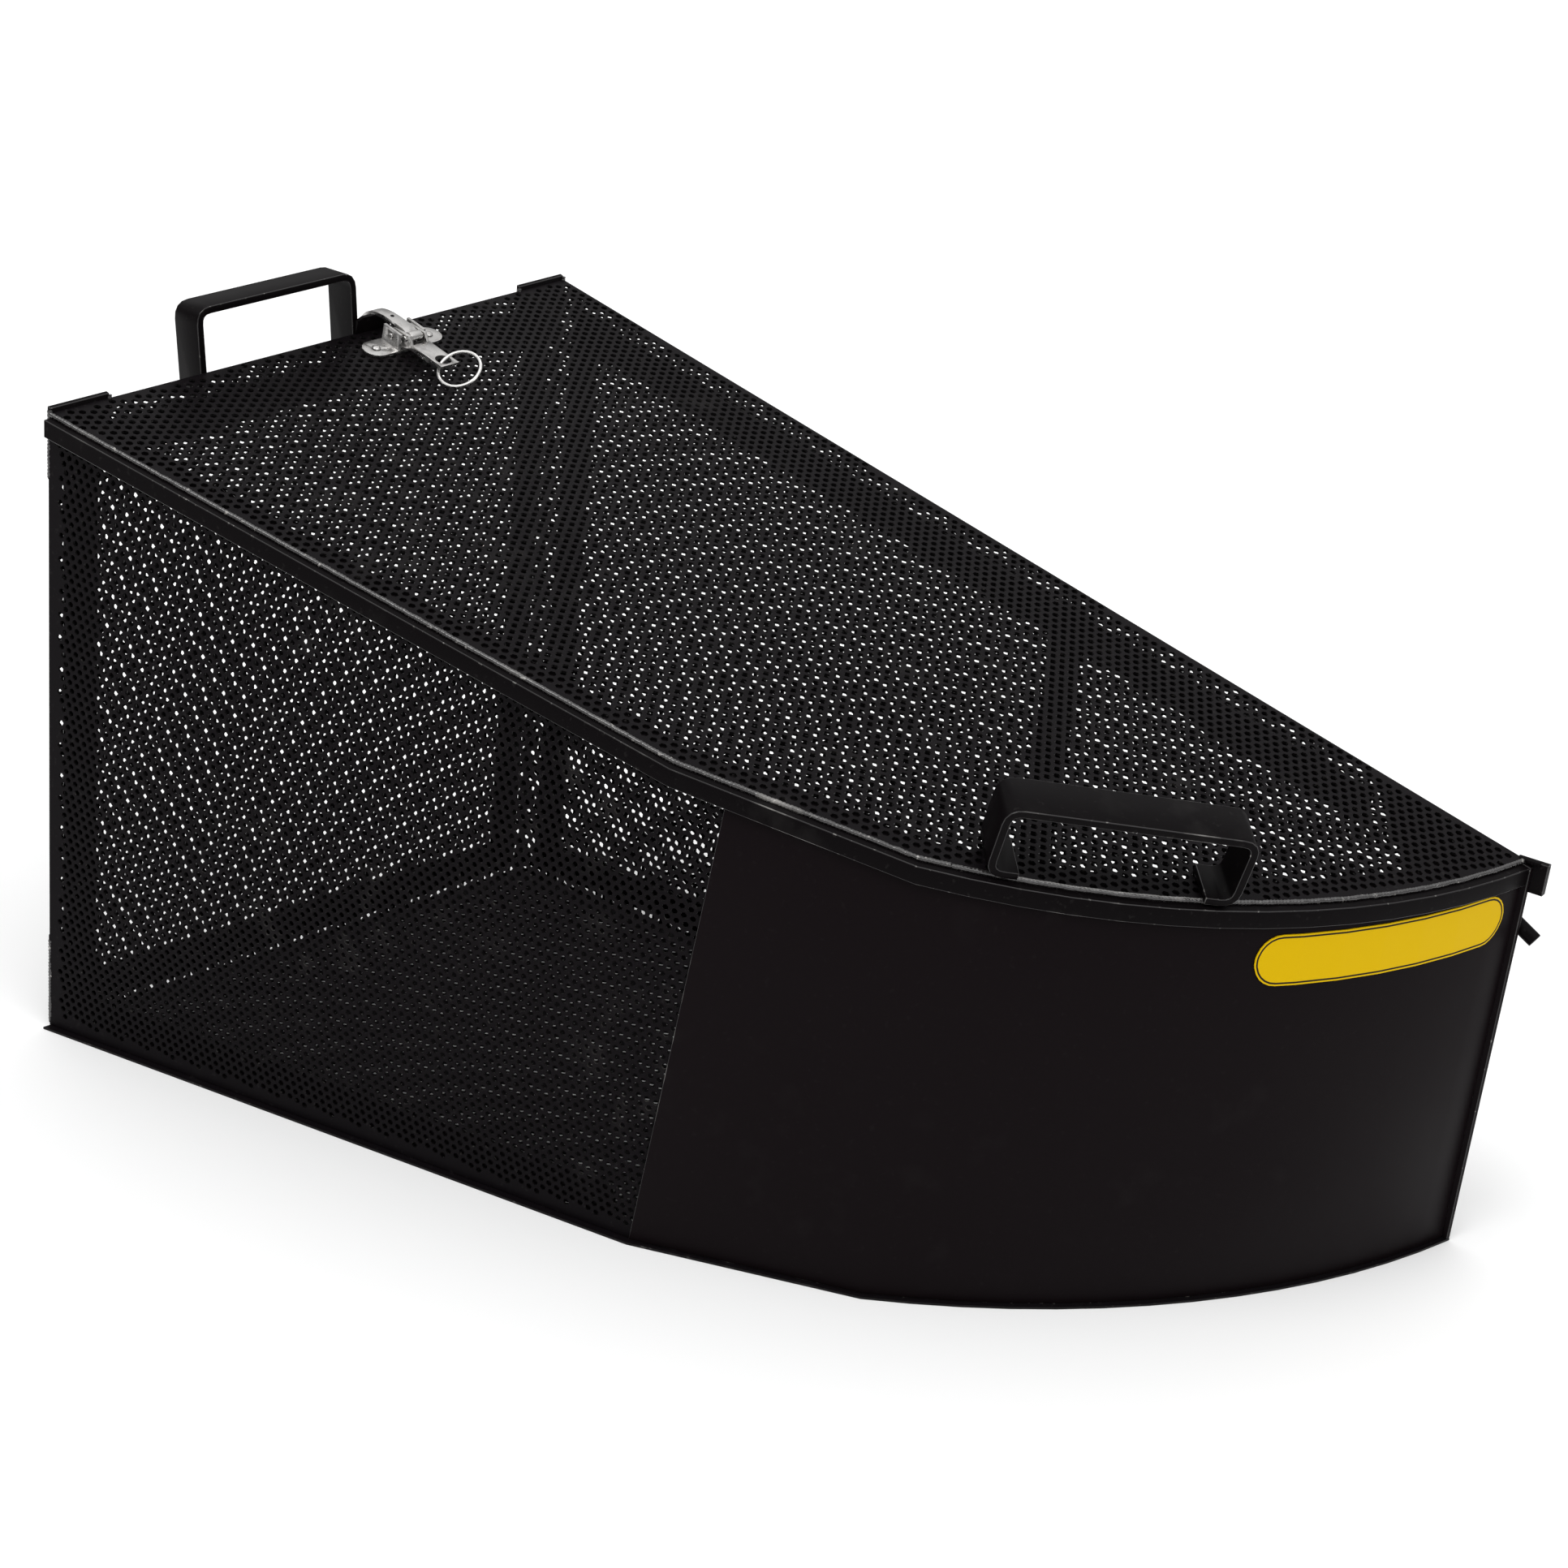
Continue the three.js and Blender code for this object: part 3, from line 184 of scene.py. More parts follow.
class SurfaceEffects:
    """Shader node groups that more than one finish uses."""

    COAT_INPUTS = (("Vector", "Vector"), ("Base", "Color"), ("Worn and glint", "Color"),
                   ("Wear and glint", "Float"), ("Smooth", "Float"), ("Dull", "Float"))
    METAL_INPUTS = (("Vector", "Vector"), ("Base", "Color"), ("Stain", "Color"),
                    ("Smooth", "Float"), ("Dull", "Float"))
    OUTPUTS = (("Color", "Color"), ("Roughness", "Float"), ("Height", "Float"))
    # Scale and detail of each noise.
    CLOUDS = (7.0, 4.0)
    SPECKS = (260.0, 2.0)
    SCUFFS = (38.0, 5.0)
    PEEL = (900.0, 1.5)
    TARNISH = (120.0, 4.0)
    STREAKS = (1400.0, 3.0)
    STREAK_STRETCH = (0.12, 1.0, 1.0)
    # The part of a noise over which its mark comes up.
    PATCH_RANGE = (0.45, 0.7)
    RUBBED_RANGE = (0.56, 0.74)
    SPECK_RANGE = (0.64, 0.74)
    STAIN_RANGE = (0.5, 0.75)
    ROUGH_RANGE = (0.3, 0.7)
    SPECK_SHARE = 0.6
    WORN_ROUGHNESS = 0.2
    WORN_DEPTH = 0.5

    def __init__(self) -> None:
        """Builds each group once."""
        self.coat = self._group("Powder coat", self.COAT_INPUTS, self._coat)
        self.metal = self._group("Plated metal", self.METAL_INPUTS, self._metal)

    def _group(self, name: str, inputs: tuple, effect: object) -> NodeTree:
        """Makes a group that gives colour, roughness and height.

        Args:
            name: The group's name.
            inputs: Name and kind of each input.
            effect: Builds the effect and returns the three sockets.

        Returns:
            The group.
        """
        tree = bpy.data.node_groups.new(name, "ShaderNodeTree")
        for label, kind in inputs:
            add_socket(tree, label, "INPUT", kind)
        for label, kind in self.OUTPUTS:
            add_socket(tree, label, "OUTPUT", kind)
        source = new_node(tree, "NodeGroupInput").outputs
        result = new_node(tree, "NodeGroupOutput").inputs
        for (label, _), socket in zip(self.OUTPUTS, effect(tree, source)):
            tree.links.new(socket, result[label])
        return tree

    def _coat(self, tree: NodeTree, source: object) -> tuple:
        """Powder coat: cloudy gloss, fine orange peel, scuffed patches and specks; on the edge,
        bead and hole finishes the light patches and specks are painted highlight glints.
        """
        vector = source["Vector"]
        clouds = noise_node(tree, vector, *self.CLOUDS)
        specks = noise_node(tree, vector, *self.SPECKS)
        scuffs = noise_node(tree, vector, *self.SCUFFS)
        peel = noise_node(tree, vector, *self.PEEL)
        patch = map_range(tree, clouds, *self.PATCH_RANGE)
        rubbed_and_glint = map_range(tree, scuffs, *self.RUBBED_RANGE)
        dots = map_range(tree, specks, *self.SPECK_RANGE)
        # Mask of the light patches: scuffs on the plain coats, painted highlight glints on the
        # edge, bead and hole finishes.
        worn_and_glint = math_node(tree, "MAXIMUM", math_node(tree, "MULTIPLY", rubbed_and_glint, patch),
                         math_node(tree, "MULTIPLY", dots, self.SPECK_SHARE))
        worn_and_glint = math_node(tree, "MULTIPLY", worn_and_glint, source["Wear and glint"])
        color = mix_node(tree, worn_and_glint, source["Base"], source["Worn and glint"])
        rough = map_range(tree, clouds, *self.ROUGH_RANGE, source["Smooth"], source["Dull"])
        rough = math_node(tree, "ADD", rough,
                          math_node(tree, "MULTIPLY", worn_and_glint, self.WORN_ROUGHNESS))
        height = math_node(tree, "SUBTRACT", peel,
                           math_node(tree, "MULTIPLY", worn_and_glint, self.WORN_DEPTH))
        return color, rough, height

    def _metal(self, tree: NodeTree, source: object) -> tuple:
        """Zinc plate: drawn streaks, cloudy passivation and darker stains."""
        vector = source["Vector"]
        stretch = new_node(tree, "ShaderNodeMapping",
                           {"Vector": vector, "Scale": self.STREAK_STRETCH})
        streaks = noise_node(tree, stretch.outputs[0], *self.STREAKS)
        clouds = noise_node(tree, vector, *self.TARNISH)
        stain = map_range(tree, clouds, *self.STAIN_RANGE)
        color = mix_node(tree, stain, source["Base"], source["Stain"])
        rough = map_range(tree, clouds, *self.ROUGH_RANGE, source["Smooth"], source["Dull"])
        return color, rough, streaks


def effect_material(name: str, effect: NodeTree, values: dict,
                    bump: float) -> tuple:
    """Makes a material that an effect group feeds, on object coordinates.

    Args:
        name: The material's name.
        effect: The effect's group.
        values: The group's inputs by name.
        bump: Strength of the bump.

    Returns:
        The material and its Principled shader.
    """
    material, tree, shader = new_material(name)
    place = new_node(tree, "ShaderNodeTexCoord").outputs["Object"]
    group = new_node(tree, "ShaderNodeGroup", {"Vector": place, **values},
                     node_tree=effect).outputs
    relief = new_node(tree, "ShaderNodeBump", {
        "Strength": bump, "Distance": BUMP_DEPTH, "Height": group["Height"]})
    tree.links.new(relief.outputs[0], shader.inputs["Normal"])
    tree.links.new(group["Color"], shader.inputs["Base Color"])
    tree.links.new(group["Roughness"], shader.inputs["Roughness"])
    return material, shader


@dataclass(frozen=True)
class CoatFinish:
    """Black powder coat on steel."""

    name: str
    # Darker than the same coat on the front sheet and the perforated sheets: the coat's own black
    # plus painted shade over the frame.
    base: tuple = (0.0028, 0.002, 0.0024)
    worn_and_glint: tuple = (0.035, 0.033, 0.032)
    wear_and_glint: float = 0.3
    smooth: float = 0.36
    dull: float = 0.5
    bump: float = 0.12
    specular: float = 0.045

    def build(self, effects: SurfaceEffects) -> Material:
        """Makes the material.

        Args:
            effects: The shared node groups.

        Returns:
            The material.
        """
        material, shader = effect_material(self.name, effects.coat, {
            "Base": (*self.base, 1), "Worn and glint": (*self.worn_and_glint, 1), "Wear and glint": self.wear_and_glint,
            "Smooth": self.smooth, "Dull": self.dull}, self.bump)
        shader.inputs["Specular IOR Level"].default_value = self.specular
        return material


@dataclass(frozen=True)
class PlateFinish:
    """Bright zinc plate."""

    name: str
    base: tuple = (0.5, 0.49, 0.48)
    stain: tuple = (0.26, 0.25, 0.245)
    smooth: float = 0.2
    dull: float = 0.36
    bump: float = 0.03

    def build(self, effects: SurfaceEffects) -> Material:
        """Makes the material.

        Args:
            effects: The shared node groups.

        Returns:
            The material.
        """
        material, shader = effect_material(self.name, effects.metal, {
            "Base": (*self.base, 1), "Stain": (*self.stain, 1), "Smooth": self.smooth,
            "Dull": self.dull}, self.bump)
        shader.inputs["Metallic"].default_value = 1.0
        return material


@dataclass(frozen=True)
class FieldFinish:
    """Plain yellow vinyl with a thin dark line, placed by the edge_distance attribute."""

    name: str
    yellow: tuple = (0.68, 0.435, 0.0)
    line: tuple = (0.012, 0.01, 0.01)
    line_outer: tuple = (0.9 * MM, 1.2 * MM)
    line_inner: tuple = (2.4 * MM, 2.1 * MM)
    clouds: tuple = (60.0, 2.0)
    smooth: float = 0.3
    dull: float = 0.5
    specular: float = 0.05

    def build(self) -> Material:
        """Makes the material.

        Returns:
            The material.
        """
        material, tree, shader = new_material(self.name)
        way = new_node(tree, "ShaderNodeAttribute", attribute_name="edge_distance")
        sides = [map_range(tree, way.outputs["Fac"], *side)
                 for side in (self.line_outer, self.line_inner)]
        color = mix_node(tree, math_node(tree, "MULTIPLY", *sides), (*self.yellow, 1),
                         (*self.line, 1))
        tree.links.new(color, shader.inputs["Base Color"])
        place = new_node(tree, "ShaderNodeTexCoord")
        clouds = noise_node(tree, place.outputs["Object"], *self.clouds)
        rough = map_range(tree, clouds, 0.0, 1.0, self.smooth, self.dull)
        tree.links.new(rough, shader.inputs["Roughness"])
        shader.inputs["Specular IOR Level"].default_value = self.specular
        return material


@dataclass
class Palette:
    """Every finish of the catcher, built once."""

    effects: SurfaceEffects = field(default_factory=SurfaceEffects)

    def __post_init__(self) -> None:
        """Builds the materials."""
        # Both bead finishes: light patches over the whole bead, which are painted highlight
        # glints.
        bead = {"wear_and_glint": 1.0, "smooth": 0.14, "dull": 0.3, "bump": 0.2, "specular": 0.9}
        self.coat = CoatFinish("Powder coat, black, darkened as painted shade").build(self.effects)
        self.front = CoatFinish(
            "Powder coat, front sheet", base=(0.005, 0.0031, 0.0038), wear_and_glint=0.1, smooth=0.4,
            dull=0.52, bump=0.08).build(self.effects)
        self.sheet = CoatFinish(
            "Powder coat, perforated sheet", base=(0.0046, 0.0036, 0.0044),
            worn_and_glint=(0.03, 0.028, 0.028), wear_and_glint=0.4, smooth=0.34, bump=0.1).build(self.effects)
        # Hole-wall finish, lighter than the sheet: partly the thin coat at the punched edge,
        # partly painted highlight glints.
        self.hole = CoatFinish(
            "Powder coat, punched edge with painted glints", base=(0.006, 0.0052, 0.0055), worn_and_glint=(0.2, 0.19, 0.18),
            wear_and_glint=0.5, smooth=0.3, dull=0.45, bump=0.1, specular=0.12).build(self.effects)
        # Eased-edge finish, lighter than the coat: partly scuffed coat, partly a painted highlight
        # along each edge.
        self.edge = CoatFinish(
            "Powder coat, edge scuffs and painted highlight", base=(0.012, 0.0105, 0.011), worn_and_glint=(0.34, 0.33, 0.31),
            wear_and_glint=1.0, smooth=0.2, dull=0.34, bump=0.1, specular=0.4).build(self.effects)
        # Weld bead finish: its light patches are painted highlight glints on the bead.
        self.weld = CoatFinish(
            "Powder coat, weld bead with painted glints", base=(0.02, 0.018, 0.018), worn_and_glint=(0.5, 0.48, 0.45),
            **bead).build(self.effects)
        # Bright bead finish that paints the highlight on the rim between the front handle's feet.
        self.rim_highlight = CoatFinish(
            "Steel, painted rim highlight", base=(0.16, 0.155, 0.15), worn_and_glint=(0.6, 0.58, 0.56),
            **bead).build(self.effects)
        self.zinc = PlateFinish("Zinc plate").build(self.effects)
        # Bright zinc: the pull ring's finish, and a painted highlight on the latch's eased edges
        # and the lever's side faces.
        self.bright = PlateFinish(
            "Zinc plate, bright, with painted highlight", base=(0.92, 0.91, 0.89), stain=(0.7, 0.69, 0.67),
            dull=0.34, bump=0.02).build(self.effects)
        self.yellow = FieldFinish("Yellow vinyl").build()


def link_object(name: str, data: object) -> Object:
    """Links a new object that shows the data to the scene and returns it."""
    made = bpy.data.objects.new(name, data)
    bpy.context.scene.collection.objects.link(made)
    return made


def add_piece(name: str, mesh: Mesh, body: str = ROOT) -> Object:
    """Links a finished mesh as a piece of the object.

    Args:
        name: The piece's name.
        mesh: Its mesh, already in place.
        body: The body that it rides on.

    Returns:
        The object.
    """
    piece = link_object(name, mesh)
    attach(piece, body)
    log.info("%s: %d faces", name, len(mesh.polygons))
    return piece


def evaluated_mesh(source: Object) -> Mesh:
    """Returns a plain mesh of an object with its modifiers applied."""
    graph = bpy.context.evaluated_depsgraph_get()
    graph.update()
    return bpy.data.meshes.new_from_object(source.evaluated_get(graph))


def drop(source: Object) -> None:
    """Removes a helper object and its mesh."""
    mesh = source.data
    bpy.data.objects.remove(source)
    bpy.data.meshes.remove(mesh)


def signed_volume(mesh: Mesh) -> float:
    """Returns the mesh's volume, negative where it is inside out."""
    mesh.calc_loop_triangles()
    corners = np.zeros(len(mesh.vertices) * 3)
    mesh.vertices.foreach_get("co", corners)
    corners = corners.reshape(-1, 3)
    index = np.zeros(len(mesh.loop_triangles) * 3, np.int32)
    mesh.loop_triangles.foreach_get("vertices", index)
    a, b, c = (corners[index.reshape(-1, 3)[:, k]] for k in range(3))
    return float((a * np.cross(b, c)).sum() / 6)


@dataclass
class FlatOutline:
    """Outline of the large flat face of a sheet, in its own plane."""

    FLUSH = 0.9999  # least cosine between two faces of one plane
    PLANE_DEPTH = 0.2 * MM
    CORNER = 0.02 * MM

    points: list
    to_world: Matrix
    thickness: float

    @classmethod
    def of(cls, node: str, toward: Vector, along: Vector) -> "FlatOutline":
        """Reads the outline from a CAD sheet.

        Args:
            node: The sheet's node.
            toward: Roughly the direction that the wanted face looks in.
            along: Roughly the direction of the rows of holes.

        Returns:
            The outline, with z = 0 on that face and the sheet below it.
        """
        bm = bmesh.new()
        bm.from_mesh(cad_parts[node].data)
        bmesh.ops.remove_doubles(bm, verts=bm.verts, dist=cls.CORNER)
        bm.normal_update()
        facing = [f for f in bm.faces if f.normal.dot(toward.normalized()) > ALONG]
        main = max(facing, key=lambda f: f.calc_area())
        normal, anchor = main.normal.copy(), main.verts[0].co.copy()
        chosen = {f for f in facing if f.normal.dot(normal) > cls.FLUSH
                  and abs((f.verts[0].co - anchor).dot(normal)) < cls.PLANE_DEPTH}
        edges = [e for e in bm.edges if sum(f in chosen for f in e.link_faces) == 1]
        loops = cls._loops(edges)
        longest = max(loops, key=lambda r: sum((a - b).length for a, b in zip(r, r[1:] + r[:1])))
        x_axis = (along - along.dot(normal) * normal).normalized()
        y_axis = normal.cross(x_axis)
        flat = [((p - anchor).dot(x_axis), (p - anchor).dot(y_axis)) for p in longest]
        centre = [(min(c) + max(c)) / 2 for c in zip(*flat)]
        origin = anchor + x_axis * centre[0] + y_axis * centre[1]
        rotation = Matrix((x_axis, y_axis, normal)).transposed().to_4x4()
        depth = max((anchor - v.co).dot(normal) for v in bm.verts)
        points = [(x - centre[0], y - centre[1]) for x, y in flat]
        bm.free()
        return cls(points, Matrix.Translation(origin) @ rotation, depth)

    @staticmethod
    def _loops(edges: list) -> list:
        """Joins boundary edges to closed rings of corners.

        Args:
            edges: The boundary edges.

        Returns:
            One list of places for each ring.
        """
        around = {}
        for a, b in (edge.verts for edge in edges):
            around.setdefault(a, []).append(b)
            around.setdefault(b, []).append(a)
        rings = []
        left = set(around)
        while left:
            last, here = None, min(left, key=lambda v: v.index)
            ring = []
            while here in left:
                left.discard(here)
                ring.append(here.co.copy())
                ahead = [v for v in around[here] if v is not last]
                last, here = here, ahead[0]
            rings.append(ring)
        return rings


class MeshTree:
    """A Geometry Nodes tree that is run on a helper mesh and leaves a plain one."""

    NAME = ""
    INPUTS: tuple = ()

    def __init__(self) -> None:
        """Builds the tree with its named inputs."""
        self.tree = bpy.data.node_groups.new(self.NAME, "GeometryNodeTree")
        add_socket(self.tree, "Geometry", "INPUT", "Geometry")
        self.sockets = {
            name: add_socket(self.tree, name, "INPUT", kind, value).identifier
            for name, kind, value in self.INPUTS}
        add_socket(self.tree, "Geometry", "OUTPUT", "Geometry")
        source = self._node("NodeGroupInput")
        result = new_node(self.tree, "NodeGroupOutput").inputs
        self.tree.links.new(self._build(source), result["Geometry"])

    def _node(self, kind: str, inputs: dict | None = None, **settings: object) -> object:
        """Adds a node and returns its outputs."""
        return new_node(self.tree, kind, inputs, **settings).outputs

    def _math(self, operation: str, *values: object) -> object:
        """Adds a Math node over numbers or sockets and returns its output."""
        return math_node(self.tree, operation, *values)

    def _coated(self, mesh: object, material: object, chosen: object = True) -> object:
        """Gives a material to the chosen faces and returns the mesh's socket."""
        return self._node("GeometryNodeSetMaterial", {
            "Geometry": mesh, "Material": material, "Selection": chosen})[0]

    def _build(self, source: object) -> object:
        """Builds the nodes from the group input's outputs; returns the result's socket."""
        raise NotImplementedError

    def _evaluated(self, mesh: Mesh, values: dict) -> Mesh:
        """Runs the tree.

        Args:
            mesh: The mesh that it starts from, which is used up.
            values: The tree's inputs by name.

        Returns:
            A plain mesh with its faces outward.
        """
        helper = link_object(mesh.name, mesh)
        modifier = helper.modifiers.new(self.NAME, "NODES")
        modifier.node_group = self.tree
        for name, value in values.items():
            modifier[self.sockets[name]] = value
        made = evaluated_mesh(helper)
        helper.modifiers.remove(modifier)
        drop(helper)
        if signed_volume(made) < 0:
            made.flip_normals()
        return made


class PerforationTree(MeshTree):
    """Punches a staggered pattern of holes through a flat outline."""

    NAME = "Perforated sheet"
    INPUTS = (
        ("Pitch", "Float", None), ("Hole Diameter", "Float", None), ("Hole Sides", "Int", None),
        ("Edge Margin", "Float", None), ("Thickness", "Float", None), ("Columns", "Int", None),
        ("Rows", "Int", None), ("Band Rows", "Int", None), ("Sheet Material", "Material", None),
        ("Hole Material", "Material", None))
    ON_PLATE = 0.01 * MM
    JOIN = 0.005 * MM
    HOLE_TURN = math.radians(30)
    CUT = 1e-6

    def _height(self) -> object:
        """Returns the socket with each point's Y."""
        return self._node("ShaderNodeSeparateXYZ", {
            0: self._node("GeometryNodeInputPosition")[0]})["Y"]

    def _joined(self, *parts: object) -> object:
        """Joins meshes or curves."""
        join = new_node(self.tree, "GeometryNodeJoinGeometry")
        for part in parts:
            self.tree.links.new(part, join.inputs[0])
        return join.outputs[0]

    def _merged(self, mesh: object) -> object:
        """Merges corners that lie together."""
        return self._node("GeometryNodeMergeByDistance", {
            "Geometry": mesh, "Distance": self.JOIN})[0]

    def _lattice(self, source: object) -> object:
        """Makes the staggered points: every other row is shifted by half a pitch."""
        pitch = source["Pitch"]
        row = self._math("MULTIPLY", pitch, ROW_STEP)
        wide = self._math("MULTIPLY", self._math("SUBTRACT", source["Columns"], 1.0), pitch)
        high = self._math("MULTIPLY", self._math("SUBTRACT", source["Rows"], 1.0), row)
        grid = self._node("GeometryNodeMeshGrid", {
            "Size X": wide, "Size Y": high, "Vertices X": source["Columns"],
            "Vertices Y": source["Rows"]})
        from_low = self._math("ADD", self._height(), self._math("MULTIPLY", high, 0.5))
        number = self._math("ROUND", self._math("DIVIDE", from_low, row))
        odd = self._math("MODULO", number, 2.0)
        shift = self._math("MULTIPLY", self._math("MULTIPLY", odd, pitch), 0.5)
        offset = self._node("ShaderNodeCombineXYZ", {"X": shift})[0]
        return self._node("GeometryNodeSetPosition", {
            "Geometry": grid["Mesh"], "Offset": offset})[0]

    def _border(self, outline: object) -> object:
        """Leaves only the sheet's own edges, without the cuts between its bands."""
        shared = self._node("GeometryNodeInputMeshEdgeNeighbors")[0]
        return self._node("GeometryNodeDeleteGeometry", {
            "Geometry": outline, "Selection": self._math("GREATER_THAN", shared, 1.5)},
            domain="EDGE", mode="ALL")[0]

    def _band(self, source: object) -> object:
        """Numbers each curve by the band of rows that it lies in."""
        row = self._math("MULTIPLY", source["Pitch"], ROW_STEP)
        half = self._math("MULTIPLY", source["Rows"], self._math("MULTIPLY", row, 0.5))
        mean = self._node("GeometryNodeFieldOnDomain", {0: self._height()},
                          data_type="FLOAT", domain="CURVE")[0]
        step = self._math("MULTIPLY", row, source["Band Rows"])
        return self._math("FLOOR", self._math("DIVIDE", self._math("ADD", mean, half), step))

    def _holes(self, source: object, border: object) -> object:
        """Makes a curve for each hole that lies on the sheet, clear of its border."""
        whole = self._node("GeometryNodeMeshToCurve", {"Mesh": border})[0]
        plate = self._node("GeometryNodeFillCurve", {0: whole}, mode="TRIANGLES")[0]
        to_plate = self._node("GeometryNodeProximity", {0: plate}, target_element="FACES")
        to_border = self._node("GeometryNodeProximity", {0: border}, target_element="EDGES")
        off = self._math("GREATER_THAN", to_plate["Distance"], self.ON_PLATE)
        near = self._math("LESS_THAN", to_border["Distance"], source["Edge Margin"])
        centres = self._node("GeometryNodeDeleteGeometry", {
            "Geometry": self._lattice(source), "Selection": self._math("MAXIMUM", off, near)},
            domain="POINT")[0]
        circle = self._node("GeometryNodeCurvePrimitiveCircle", {
            "Resolution": source["Hole Sides"],
            "Radius": self._math("MULTIPLY", source["Hole Diameter"], 0.5)}, mode="RADIUS")
        turn = self._node("ShaderNodeCombineXYZ", {"Z": self.HOLE_TURN})[0]
        punch = self._node("GeometryNodeInstanceOnPoints", {
            "Points": centres, "Instance": circle["Curve"], "Rotation": turn})[0]
        return self._node("GeometryNodeRealizeInstances", {0: punch})[0]

    def _build(self, source: object) -> object:
        """Fills the outline round the holes, band by band, and thickens it."""
        outline = source["Geometry"]
        holes = self._holes(source, self._border(outline))
        apart = self._node("GeometryNodeSplitEdges", {"Mesh": outline})[0]
        rim = self._node("GeometryNodeMeshToCurve", {"Mesh": apart})[0]
        fill = self._node("GeometryNodeFillCurve", {
            0: self._joined(holes, rim), "Group ID": self._band(source)}, mode="TRIANGLES")[0]
        face = self._coated(self._merged(fill), source["Sheet Material"])
        down = self._node("ShaderNodeCombineXYZ", {
            "Z": self._math("MULTIPLY", source["Thickness"], -1.0)})[0]
        push = self._node("GeometryNodeExtrudeMesh", {
            "Mesh": face, "Offset": down, "Offset Scale": 1.0, "Individual": False},
            mode="FACES")
        # The hole walls take the lighter hole finish, which paints small highlight glints round
        # each hole.
        back = self._coated(push["Mesh"], source["Hole Material"], push["Side"])
        front = self._node("GeometryNodeFlipFaces", {"Mesh": face})[0]
        return self._merged(self._joined(front, back))

    @classmethod
    def _banded(cls, points: list, pitch: float, rows: int,
                band_rows: int) -> Mesh:
        """Cuts an outline into bands of a few rows, between two rows of holes.

        Args:
            points: The flat outline, in order.
            pitch: The way from hole to hole.
            rows: The number of rows of the pattern.
            band_rows: The rows in one band.

        Returns:
            A flat mesh with one face for each band.
        """
        bm = bmesh.new()
        bm.faces.new([bm.verts.new((x, y, 0)) for x, y in points])
        row = pitch * ROW_STEP
        for k in range(band_rows, rows, band_rows):
            bmesh.ops.bisect_plane(
                bm, geom=bm.verts[:] + bm.edges[:] + bm.faces[:], dist=cls.CUT,
                plane_co=(0, row * (k - rows / 2), 0), plane_no=(0, 1, 0))
        for edge in [e for e in bm.edges if len(e.link_faces) == 2]:
            cuts = int(edge.calc_length() / (2 * pitch))
            if cuts:
                bmesh.ops.subdivide_edges(bm, edges=[edge], cuts=cuts)
        mesh = bpy.data.meshes.new("outline")
        bm.to_mesh(mesh)
        bm.free()
        return mesh

    def run(self, points: list, **values: object) -> Mesh:
        """Punches one sheet.

        Args:
            points: The flat outline, in order.
            **values: The tree's inputs by name, with _ for each space.

        Returns:
            A closed mesh, in the outline's own plane.
        """
        mesh = self._banded(points, values["Pitch"], values["Rows"], values["Band_Rows"])
        return self._evaluated(mesh, {k.replace("_", " "): v for k, v in values.items()})


@dataclass
class PunchedSheet:
    """A perforated sheet that stands for a CAD node, with its pattern of holes."""

    node: str
    pitch: float = 7.25 * MM
    hole: float = 5.2 * MM
    margin: float = 3.4 * MM
    sides: int = 6
    band_rows: int = 4

    def punch(self, tree: PerforationTree, palette: Palette, points: list,
              thickness: float) -> Mesh:
        """Punches the flat sheet.

        Args:
            tree: The perforation tree.
            palette: The finishes.
            points: The sheet's outline about its own middle.
            thickness: The sheet's thickness.

        Returns:
            The flat sheet's mesh.
        """
        wide, high = (2 * max(p[k] for p in points) for k in range(2))
        return tree.run(
            points, Pitch=self.pitch, Hole_Diameter=self.hole, Hole_Sides=self.sides,
            Edge_Margin=self.margin, Thickness=thickness, Columns=int(wide / self.pitch) + 2,
            Rows=int(high / (self.pitch * ROW_STEP)) + 2, Band_Rows=self.band_rows,
            Sheet_Material=palette.sheet, Hole_Material=palette.hole)

    def place(self, mesh: Mesh) -> None:
        """Adds the finished sheet as a piece."""
        piece = add_piece(self.node + "_punched", mesh)
        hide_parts(self.node)


@dataclass
class PerforatedPanel(PunchedSheet):
    """One flat perforated sheet."""

    toward: Vector = field(kw_only=True)
    along: Vector = field(default_factory=lambda: Vector((1, 0, 0)), kw_only=True)

    def build(self, tree: PerforationTree, palette: Palette) -> None:
        """Punches the sheet and puts it in place.

        Args:
            tree: The perforation tree.
            palette: The finishes.
        """
        outline = FlatOutline.of(self.node, self.toward, self.along)
        mesh = self.punch(tree, palette, outline.points, outline.thickness)
        mesh.transform(outline.to_world)
        self.place(mesh)


